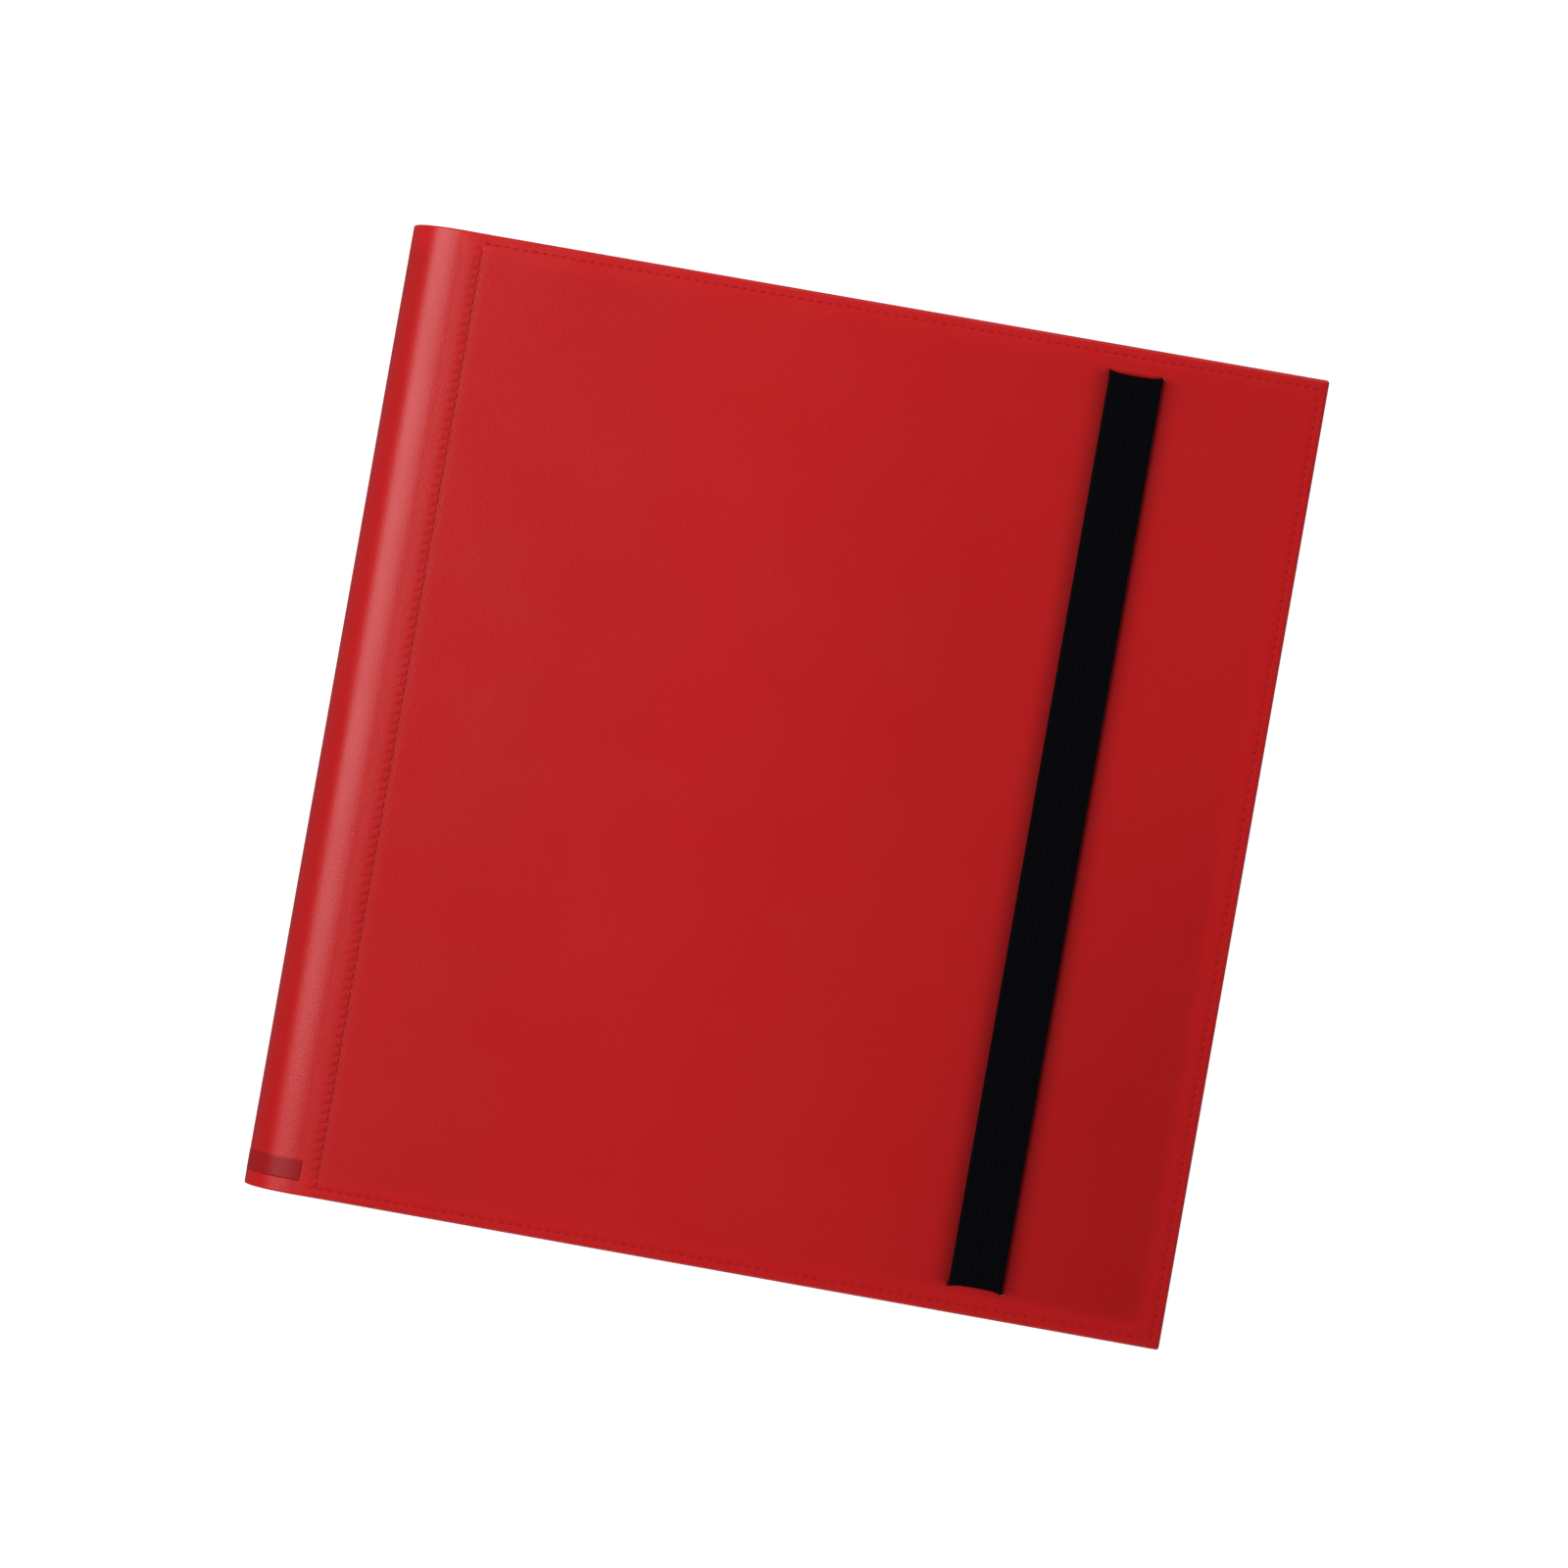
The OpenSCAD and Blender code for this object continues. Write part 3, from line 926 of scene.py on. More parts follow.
@dataclass
class Cover:
    """One padded cover: skin over a board, a lining inside, and its stitches.

    Attributes:
        side: Front or back.
        plan: The album's places.
        hem: The rounding of its edges.
        slots: The strap's slots, on the front only.
        finishes: The materials.
        corner_r: Radius of its outer corners.
        hinge_in: Distance of the stitches beside the spine from the start of the cover.
        hinge_depth: Depth of the groove along them.
        hinge_w: Half-width of that groove.
        band_w: Width of the finely divided strip of skin beside the spine.
        pitch: Distance from stitch to stitch.
        pucker: Depth of the dimple at each needle hole beside the spine.
        swell: Height of the skin's slow unevenness.
        full_by: Distance from the spine over which the padding becomes full.
    """

    side: Side
    plan: AlbumPlan
    hem: HemProfile
    slots: Slots | None
    finishes: Finishes
    corner_r: float = 1.0 * MM
    hinge_in: float = 7.1 * MM
    hinge_depth: float = 0.05 * MM
    hinge_w: float = 1.7 * MM
    band_w: float = 14.0 * MM
    pitch: float = 3.1 * MM
    pucker: float = 0.1 * MM
    swell: float = 0.05 * MM
    full_by: float = 12.0 * MM

    @property
    def body(self) -> str:
        """The body that the cover rides on."""
        return f"{self.side.value}_cover"

    def turned(self, points: np.ndarray) -> np.ndarray:
        """Points drawn for the front cover, turned over for the back cover: z becomes T - z."""
        if self.side is Side.FRONT:
            return points
        flipped = points.copy()
        flipped[..., 2] = self.plan.top_z - flipped[..., 2]
        return flipped

    def depth(self, x: np.ndarray, y: np.ndarray) -> np.ndarray:
        """Distance inside the nearest free edge, blended at the corners.

        With dx to the fore-edge and dy to the head or tail, it is
        (dx^-p + dy^-p)^(-1/p) with p = 4, which is 0 on either edge.

        Args:
            x: X of the points.
            y: Y of the points.

        Returns:
            The distance.
        """
        tiny = 1e-9
        dx = np.maximum(self.plan.fore_x - x, tiny)
        dy = np.maximum(self.plan.half_h - np.abs(y), tiny)
        return (dx**-4.0 + dy**-4.0) ** -0.25

    def fullness(self, x: np.ndarray) -> np.ndarray:
        """0 beside the spine to 1 over the padding."""
        return smoothstep((x - self.plan.axis_x) / self.full_by)

    def needle_holes(self, x: np.ndarray, y: np.ndarray) -> np.ndarray:
        """1 at the needle holes beside the spine, in crescents that fall to 0 round them.

        With p across the row and q along it from the nearest hole, it is
        exp(-(p / 1.8 mm)^2) exp(-((q + p^2 / 7 mm) / 0.45 mm)^2).

        Args:
            x: X of the points.
            y: Y of the points.

        Returns:
            The strength of the dimples.
        """
        end_y = self.plan.half_h - self.hem.seam_in
        across = x - self.plan.axis_x - self.hinge_in
        along = np.mod(y + end_y + self.pitch / 2.0, self.pitch) - self.pitch / 2.0
        crescent = bell((along + np.square(across) / (7.0 * MM)) / (0.45 * MM))
        return bell(across / (1.8 * MM)) * crescent * (np.abs(y) < end_y + 0.5 * MM)

    def outside(self, x: np.ndarray, y: np.ndarray) -> np.ndarray:
        """Height of the front cover's outside.

        It is the flat top, less the hem's fall, the shoulder beside the spine, the groove of
        the stitches there and the dimples at their holes, and less a slow swell made of three
        crossing waves.

        Args:
            x: X of the points.
            y: Y of the points.

        Returns:
            Z of the points.
        """
        plan = self.plan
        depth = self.depth(x, y)
        fall = self.hem.fall(depth, self.fullness(x)) + plan.shoulder(x - plan.axis_x)
        hinge = bell((x - plan.axis_x - self.hinge_in) / self.hinge_w)
        hinge = hinge * smoothstep((depth - self.hem.seam_in + 1.0 * MM) / (2.0 * MM))
        fall = fall + self.hinge_depth * hinge + self.pucker * self.needle_holes(x, y)
        wave = np.sin(31.0 * x + 9.0 * y) + np.sin(19.0 * x - 27.0 * y + 1.3)
        wave = wave + 0.6 * np.sin(58.0 * y + 16.0 * x)
        calm = smoothstep(depth / (22.0 * MM)) * smoothstep((x - plan.axis_x) / (30.0 * MM))
        height = plan.top_z - fall + self.swell * calm * (wave / 2.6 - 1.0)
        return height if self.slots is None else height + self.slots.lift(x, y)

    def wear_and_shade(self, x: np.ndarray, y: np.ndarray) -> np.ndarray:
        """Rubbing and painted shade of the outside.

        The outer 10 mm are rubbed brighter, most at the very edge. Shade is painted into the needle
        holes and beside the strap, and the front cover is painted darker towards its fore-edge and tail.

        Args:
            x: X of the points.
            y: Y of the points.

        Returns:
            Between -1 for painted shade and 1 for rubbed.
        """
        depth = self.depth(x, y)
        rubbed = 0.34 * (1.0 - smoothstep((depth - 3.0 * MM) / (7.0 * MM))) + 0.3 * bell(depth / (0.8 * MM))
        # Painted shade in the crescents round the needle holes.
        painted_shade = 0.4 * self.needle_holes(x, y)
        if self.slots is None:
            return rubbed - painted_shade
        # Painted shade towards the fore-edge and the tail, where the light falls off, and painted shadow
        # beside the strap.
        painted_falloff_shade = smoothstep((x - 20.0 * MM) / (130.0 * MM)) * smoothstep((95.0 * MM - y) / (220.0 * MM))
        return rubbed - painted_shade - 0.24 * painted_falloff_shade - self.slots.painted_shade(x, y)

    def rounded_corners(self, x: np.ndarray, y: np.ndarray) -> tuple[np.ndarray, np.ndarray]:
        """Draws the two free corners of a grid into quarter circles.

        In a corner square of side r, with a and b from 0 to 1 along its sides, a becomes
        a sqrt(1 - b^2 / 2) and b becomes b sqrt(1 - a^2 / 2).

        Args:
            x: X of the points.
            y: Y of the points.

        Returns:
            The new X and Y.
        """
        r = self.corner_r
        start_x, start_y = self.plan.fore_x - r, self.plan.half_h - r
        a = np.clip((x - start_x) / r, 0.0, None)
        b = np.clip((np.abs(y) - start_y) / r, 0.0, None)
        new_x = np.where(a > 0, start_x + r * a * np.sqrt(1.0 - np.square(b) / 2.0), x)
        new_y = np.where(b > 0, np.sign(y) * (start_y + r * b * np.sqrt(1.0 - np.square(a) / 2.0)), y)
        return new_x, new_y

    def band_lines(self) -> tuple[np.ndarray, np.ndarray]:
        """Grid lines of the strip beside the spine, fine enough for its dimples.

        Returns:
            The X lines and the Y lines.
        """
        start, hinge = self.plan.axis_x, self.plan.axis_x + self.hinge_in
        x = ruled(
            (start, hinge - 3.0 * MM, 0.6 * MM),
            (hinge - 3.0 * MM, hinge + 3.0 * MM, 0.36 * MM),
            (hinge + 3.0 * MM, start + self.band_w, 1.2 * MM),
        )
        end_y = self.plan.half_h - self.hem.seam_in
        hem_y = mirrored(self.hem.lines(self.plan.half_h, self.plan.hem))
        return x, sorted_lines(ruled((-end_y, end_y, self.pitch / 7.0)), hem_y)

    def panel_lines(self) -> tuple[np.ndarray, np.ndarray]:
        """Grid lines of the rest of the cover, dense at its edges and at the slots.

        Returns:
            The X lines and the Y lines.
        """
        plan = self.plan
        x = [
            ruled((plan.axis_x + self.band_w, plan.fore_x - self.hem.slope_w, 4.0 * MM)),
            self.hem.lines(plan.fore_x, plan.hem),
        ]
        y = [
            ruled((0.0, plan.half_h - self.hem.slope_w, 4.5 * MM)),
            self.hem.lines(plan.half_h, plan.hem),
        ]
        if self.slots is not None:
            s = self.slots
            reach, close, wide = 3.0 * MM, 1.2 * MM, 7.0 * MM
            for edge in (s.x - s.half_w, s.x + s.half_w):
                x.append(ruled((edge - wide, edge - close, 1.0 * MM), (edge - close, edge + close, 0.2 * MM)))
                x.append(ruled((edge + close, edge + wide, 1.0 * MM)))
            y.append(ruled((s.near - reach, s.near, 0.3 * MM), (s.near, s.far, 0.5 * MM)))
            y.append(ruled((s.far, s.far + reach, 0.22 * MM)))
        return sorted_lines(*x), mirrored(np.concatenate(y))

    def skin(self, word: str, lines_x: np.ndarray, lines_y: np.ndarray) -> bpy.types.Object:
        """One zone of the leatherette: its outside, rounded edges and hem, hollow for the board.

        Args:
            word: Name of the zone.
            lines_x: Its grid lines across.
            lines_y: Its grid lines along.

        Returns:
            The piece.
        """
        plan = self.plan
        x, y = np.meshgrid(lines_x, lines_y, indexing="ij")
        depth, full = self.depth(x, y), self.fullness(x)
        in_pocket = (x < plan.fore_x - plan.hem) & (np.abs(y) < plan.half_h - plan.hem)
        under = np.where(in_pocket, plan.skin_t, self.hem.thickness(depth, full))
        flat_x, flat_y = self.rounded_corners(x, y)
        if self.slots is not None:
            flat_y = self.slots.drawn(flat_x, flat_y)
        outer = np.stack([flat_x, flat_y, self.outside(x, y)], axis=-1)
        inner = np.stack([flat_x, flat_y, plan.top_z - under], axis=-1)
        hole = None if self.slots is None else self.slots.holes(lines_x, lines_y)
        piece = make_piece(
            f"{self.body}_leatherette_{word}",
            slab(self.turned(outer), self.turned(inner), hole, self.wear_and_shade(x, y)),
            self.finishes.leatherette,
        )
        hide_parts(f"{self.side.value}_skin")
        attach(piece, self.body)
        return piece

    def lining(self) -> bpy.types.Object:
        """The lining: a thin sheet with eased edges and a welded border line.

        Its inner face rises by 0.12 mm bells over the border line and falls by a quarter
        round at its edges.

        Returns:
            The piece.
        """
        low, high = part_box("front_lining")
        ease, border, beside = 0.3 * MM, 6.0 * MM, 1.0 * MM
        edge = ruled(
            (0.0, ease, 0.07 * MM),
            (ease, beside, 0.3 * MM),
            (border - beside, border + beside, 0.25 * MM),
        )
        lines_x = sorted_lines(ruled((low.x, high.x, 6.0 * MM)), low.x + edge, high.x - edge)
        lines_y = mirrored(np.concatenate([ruled((0.0, high.y, 6.0 * MM)), high.y - edge]))
        x, y = np.meshgrid(lines_x, lines_y, indexing="ij")
        depth = np.minimum(np.minimum(x - low.x, high.x - x), high.y - np.abs(y))
        fall = quarter_round(depth, np.array(ease)) + 0.12 * MM * bell((depth - border) / (0.45 * MM))
        face = np.stack([x, y, low.z + fall], axis=-1)
        glued = np.stack([x, y, np.full_like(x, high.z)], axis=-1)
        piece = make_piece(
            f"{self.body}_inside_lining",
            slab(self.turned(face), self.turned(glued)),
            self.finishes.lining,
        )
        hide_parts(f"{self.side.value}_lining")
        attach(piece, self.body)
        return piece

    def seam_route(self) -> tuple[np.ndarray, np.ndarray, np.ndarray]:
        """Places and directions of the stitches round the free edges and beside the spine.

        Returns:
            X, Y and heading of each stitch.
        """
        plan, seam = self.plan, self.hem.seam_in
        pitch = self.pitch
        start_x, end_x = plan.axis_x + self.hinge_in, plan.fore_x - seam
        end_y = plan.half_h - seam
        across = np.arange(start_x + pitch / 2.0, end_x - pitch / 3.0, pitch)
        upright = np.arange(-end_y + pitch / 2.0, end_y - pitch / 3.0, pitch)
        rows = [
            (across, np.full_like(across, end_y), 0.0),
            (across, np.full_like(across, -end_y), 0.0),
            (np.full_like(upright, end_x), upright, 90.0),
            (np.full_like(upright, start_x), upright, 90.0),
        ]
        x = np.concatenate([r[0] for r in rows])
        y = np.concatenate([r[1] for r in rows])
        heading = np.concatenate([np.full(len(r[0]), math.radians(r[2])) for r in rows])
        return x, y, heading

    def stitches(self) -> bpy.types.Object:
        """Every stitch of the cover, outside and inside, as small bowed threads.

        Returns:
            The piece.
        """
        x, y, heading = self.seam_route()
        sunk = 0.06 * MM
        outside = self.outside(x, y) + sunk
        inside = np.full_like(x, self.plan.lining_z) - sunk / 2.0
        threads = joined([stitch_row(x, y, outside, heading, 1.0), stitch_row(x, y, inside, heading, -1.0)])
        threads.points = self.turned(threads.points)
        piece = make_piece(f"{self.body}_stitches", threads.outward(), self.finishes.thread, 80.0)
        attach(piece, self.body)
        return piece

    def build(self) -> None:
        """Builds the cover and dresses its board."""
        self.skin("band", *self.band_lines())
        self.skin("panel", *self.panel_lines())
        self.lining()
        self.stitches()
        dress(f"{self.side.value}_board", self.finishes.board)


def stitch_row(x: np.ndarray, y: np.ndarray, z: np.ndarray, heading: np.ndarray, up: float) -> Surface:
    """Stitches as short threads that dive into the skin at both ends.

    Along a stitch, t goes from -1 to 1. The middle of the thread is at t L / 2 and at height
    h (1 - t^2), and its radius is r sqrt(1 - t^4), over a ring of six sides.

    Args:
        x: X of each stitch.
        y: Y of each stitch.
        z: Height of the surface at each stitch.
        heading: Direction of each stitch, in radians.
        up: 1 where the thread bows upwards, -1 where it bows downwards.

    Returns:
        All the stitches as closed shells.
    """
    length, bow, radius = 2.3 * MM, 0.16 * MM, 0.27 * MM
    t = np.linspace(-1.0, 1.0, 6)
    ring = np.radians(np.arange(6) * 60.0)
    thick = radius * np.sqrt(np.maximum(1.0 - t**4, 0.02))
    along = np.broadcast_to((t * length / 2.0)[:, None], (6, 6))
    side = thick[:, None] * np.cos(ring)[None, :]
    rise = up * (bow * (1.0 - t**2) - radius * 0.55)[:, None] + thick[:, None] * np.sin(ring)[None, :]
    cos, sin = np.cos(heading)[:, None, None], np.sin(heading)[:, None, None]
    px = x[:, None, None] + along * cos - side * sin
    py = y[:, None, None] + along * sin + side * cos
    pz = z[:, None, None] + np.broadcast_to(rise, (len(x), 6, 6))
    points = np.stack([px, py, pz], axis=-1).reshape(-1, 3)
    number = np.arange(36).reshape(6, 6)
    nxt = np.roll(number, -1, axis=1)
    tube = np.stack([number[:-1], nxt[:-1], nxt[1:], number[1:]], axis=-1).reshape(-1, 4)
    ends = np.array([[0, 5, 4, 1], [1, 4, 3, 2], [30, 31, 34, 35], [31, 32, 33, 34]])
    one = np.concatenate([tube, ends])
    quads = (one[None] + 36 * np.arange(len(x))[:, None, None]).reshape(-1, 4)
    return Surface(points, quads).outward()


def dress(node: str, finish: bpy.types.Material) -> None:
    """Gives a node of the frame a better material.

    Args:
        node: Name of the node.
        finish: The material.
    """
    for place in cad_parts[node].material_slots:
        place.material = finish
    log.info("%s: dressed", node)


# ---------------------------------------------------------------------------
# Spine
# ---------------------------------------------------------------------------


@dataclass(frozen=True)
class SpineBay:
    """A stretch of the spine between two bodies.

    Attributes:
        name: Its short name.
        start: Angle where it starts.
        end: Angle where it ends.
        bodies: The bodies at its start and at its end.
        bend: Two angles inside the bay, meant as the ends of its bend.
        nodes: Nodes of the frame that it stands for.
    """

    name: str
    start: float
    end: float
    bodies: tuple[str, str]
    bend: tuple[float, float]
    nodes: tuple[str, ...]


BAYS = (
    SpineBay("back", 0.0, 54.0, ("back_cover", "spine_2"), (3.0, 51.0), ("spine_wall_1", "spine_wall_2")),
    SpineBay("lower", 54.0, 90.0, ("spine_2", "spine_3"), (55.0, 89.0), ("spine_wall_3",)),
    SpineBay("upper", 90.0, 126.0, ("spine_3", "spine_4"), (91.0, 125.0), ("spine_wall_4",)),
    SpineBay("front", 126.0, 180.0, ("spine_4", "front_cover"), (129.0, 177.0), ("spine_wall_5",)),
)


@dataclass
class Spine:
    """The soft round spine: skin, lining, label and the strip that the leaves join.

    Attributes:
        plan: The album's places.
        hem: The rounding at the head and the tail.
        finishes: The materials.
        swell: Height of the skin's slow unevenness.
        lining_t: Thickness of the lining.
        label_from: Angle where the label starts.
        label_to: Angle where it ends, counted on along the flat past 180 degrees.
        label_t: How far it stands proud.
        label_ease: Width of its eased edge.
    """

    plan: AlbumPlan
    hem: HemProfile
    finishes: Finishes
    swell: float = 0.06 * MM
    lining_t: float = 0.5 * MM
    label_from: float = 100.0
    label_to: float = 185.7
    label_t: float = 0.13 * MM
    label_ease: float = 0.5 * MM

    def outer_radius(self, angle: np.ndarray, y: np.ndarray) -> np.ndarray:
        """Radius of the spine's outside.

        It is the spine's radius less the hem's fall, the shoulder at the covers and a slow
        swell that dies at the covers as the square of sin(angle).

        Args:
            angle: Angle round the spine, in degrees.
            y: Height along the album.

        Returns:
            The radius.
        """
        depth = self.plan.half_h - np.abs(y)
        fall = self.hem.fall(depth, np.zeros_like(depth))
        wave = 1.0 + 0.5 * np.sin(43.0 * y + 0.5) + 0.5 * np.sin(71.0 * y + np.radians(angle) * 1.5)
        calm = np.square(np.sin(np.radians(angle))) * smoothstep(depth / (20.0 * MM))
        near_cover = np.minimum(angle, 180.0 - angle)
        fall = fall + self.plan.shoulder(-np.radians(near_cover) * self.plan.spine_r)
        return self.plan.spine_r - fall - self.swell * 0.5 * wave * calm

    def wear_and_shade(self, angle: np.ndarray, depth: np.ndarray) -> np.ndarray:
        """Rubbing and painted shade of the skin: rubbed at the head and tail, with painted shade over the
        outer part of the round.

        Args:
            angle: Angle round the spine, in degrees.
            depth: Distance from the head or the tail.

        Returns:
            Between -1 for painted shade and 1 for rubbed.
        """
        rubbed = 0.2 * (1.0 - smoothstep((depth - 3.0 * MM) / (7.0 * MM))) + 0.3 * bell(depth / (0.8 * MM))
        near_cover = np.minimum(angle, 180.0 - angle)
        # Painted shade: the outer part of the round, more than 42 degrees from either cover, is darker.
        return rubbed - 0.15 * smoothstep((near_cover - 24.0) / 18.0)

    def placed(self, radius: np.ndarray, angle: np.ndarray, y: np.ndarray) -> np.ndarray:
        """Grid points at a radius, an angle and a height, and straight on past 180 degrees."""
        x, z = self.plan.on_spine(radius, np.minimum(angle, 180.0))
        x = x + self.plan.spine_r * np.radians(np.maximum(angle - 180.0, 0.0))
        return np.stack([x, np.broadcast_to(y, x.shape), z], axis=-1)

    def bent(self, piece: bpy.types.Object, bay: SpineBay) -> None:
        """Bakes a finished piece's place into its mesh; it does not make the piece bend with its bay.

        Args:
            piece: The piece.
            bay: Its bay; the bend points worked out from it are not used.
        """
        start, end = (self.plan.spine_point(angle) for angle in bay.bend)
        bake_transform(piece)

    def skin(self, bay: SpineBay) -> None:
        """The leatherette over one bay.

        Args:
            bay: The bay.
        """
        plan = self.plan
        ease = ruled((0.0, plan.half_h - self.hem.slope_w, 4.0 * MM))
        lines_y = mirrored(np.concatenate([ease, self.hem.lines(plan.half_h, plan.hem)]))
        lines_a = ruled((bay.start, bay.end, 1.5))
        angle, y = np.meshgrid(lines_a, lines_y, indexing="ij")
        depth = plan.half_h - np.abs(y)
        inner = np.where(depth > plan.hem, plan.skin_t, self.hem.thickness(depth, np.zeros_like(depth)))
        surface = slab(
            self.placed(self.outer_radius(angle, y), angle, y),
            self.placed(plan.spine_r - inner, angle, y),
            wear_and_shade=self.wear_and_shade(angle, depth),
        )
        piece = make_piece(f"spine_leatherette_{bay.name}", surface, self.finishes.leatherette)
        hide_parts(*bay.nodes)
        self.bent(piece, bay)

    def lining(self, bay: SpineBay) -> None:
        """The lining inside one bay, with its tongue on to the cover at either end.

        Args:
            bay: The bay.
        """
        low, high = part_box("spine_lining")
        outer_r = self.plan.axis_x - low.x
        lines_y = ruled((low.y, high.y, 8.0 * MM))
        lines_a = ruled((bay.start, bay.end, 1.5))
        angle, y = np.meshgrid(lines_a, lines_y, indexing="ij")
        outer = self.placed(np.full_like(angle, outer_r), angle, y)
        inner = self.placed(np.full_like(angle, outer_r - self.lining_t), angle, y)
        reach = ruled((self.plan.axis_x + 0.3 * MM, high.x, 0.8 * MM))
        if bay.start == 0.0:
            outer, inner = (self.tongue(g, reach[::-1], True) for g in (outer, inner))
        if bay.end == 180.0:
            outer, inner = (self.tongue(g, reach, False) for g in (outer, inner))
        piece = make_piece(f"spine_lining_{bay.name}", slab(outer, inner), self.finishes.lining)
        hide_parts("spine_lining")
        self.bent(piece, bay)

    def tongue(self, grid: np.ndarray, reach: np.ndarray, before: bool) -> np.ndarray:
        """Carries a grid on flat along X past the end of the round.

        Args:
            grid: The grid round the spine.
            reach: X of the rows to add.
            before: Whether they come before the grid's first row or after its last.

        Returns:
            The longer grid.
        """
        edge = grid[0] if before else grid[-1]
        rows = np.repeat(edge[None], len(reach), axis=0)
        rows[..., 0] = reach[:, None]
        return np.concatenate([rows, grid] if before else [grid, rows])

    def label(self, bay: SpineBay) -> None:
        """The part of the plain label that lies on one bay, with eased edges.

        Args:
            bay: The bay.
        """
        low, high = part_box("spine_label")
        start, end = max(self.label_from, bay.start), self.label_to if bay is BAYS[-1] else bay.end
        if start >= end:
            return
        edge = ruled((0.0, self.label_ease, 0.08 * MM))
        lines_y = sorted_lines(ruled((low.y, high.y, 0.6 * MM)), low.y + edge, high.y - edge)
        lines_a = ruled((start, end, 1.0))
        angle, y = np.meshgrid(lines_a, lines_y, indexing="ij")
        arc = np.minimum(angle - self.label_from, self.label_to - angle)
        arc = np.radians(arc) * self.plan.spine_r
        depth = np.minimum(np.minimum(y - low.y, high.y - y), arc)
        base = self.outer_radius(angle, y)
        rise = self.label_t * smoothstep(depth / self.label_ease)
        surface = slab(
            self.placed(base + rise - 0.01 * MM, angle, y),
            self.placed(base - 0.05 * MM, angle, y),
            wear_and_shade=np.zeros_like(depth),
        )
        piece = make_piece(f"spine_label_{bay.name}", surface, self.finishes.label)
        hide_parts("spine_label")
        self.bent(piece, bay)

    def build(self) -> None:
        """Builds every bay of the spine and dresses the binding strip."""
        for bay in BAYS:
            self.skin(bay)
            self.lining(bay)
            self.label(bay)
        dress("binding_strip", self.finishes.tape)


# ---------------------------------------------------------------------------
# Leaves
# ---------------------------------------------------------------------------


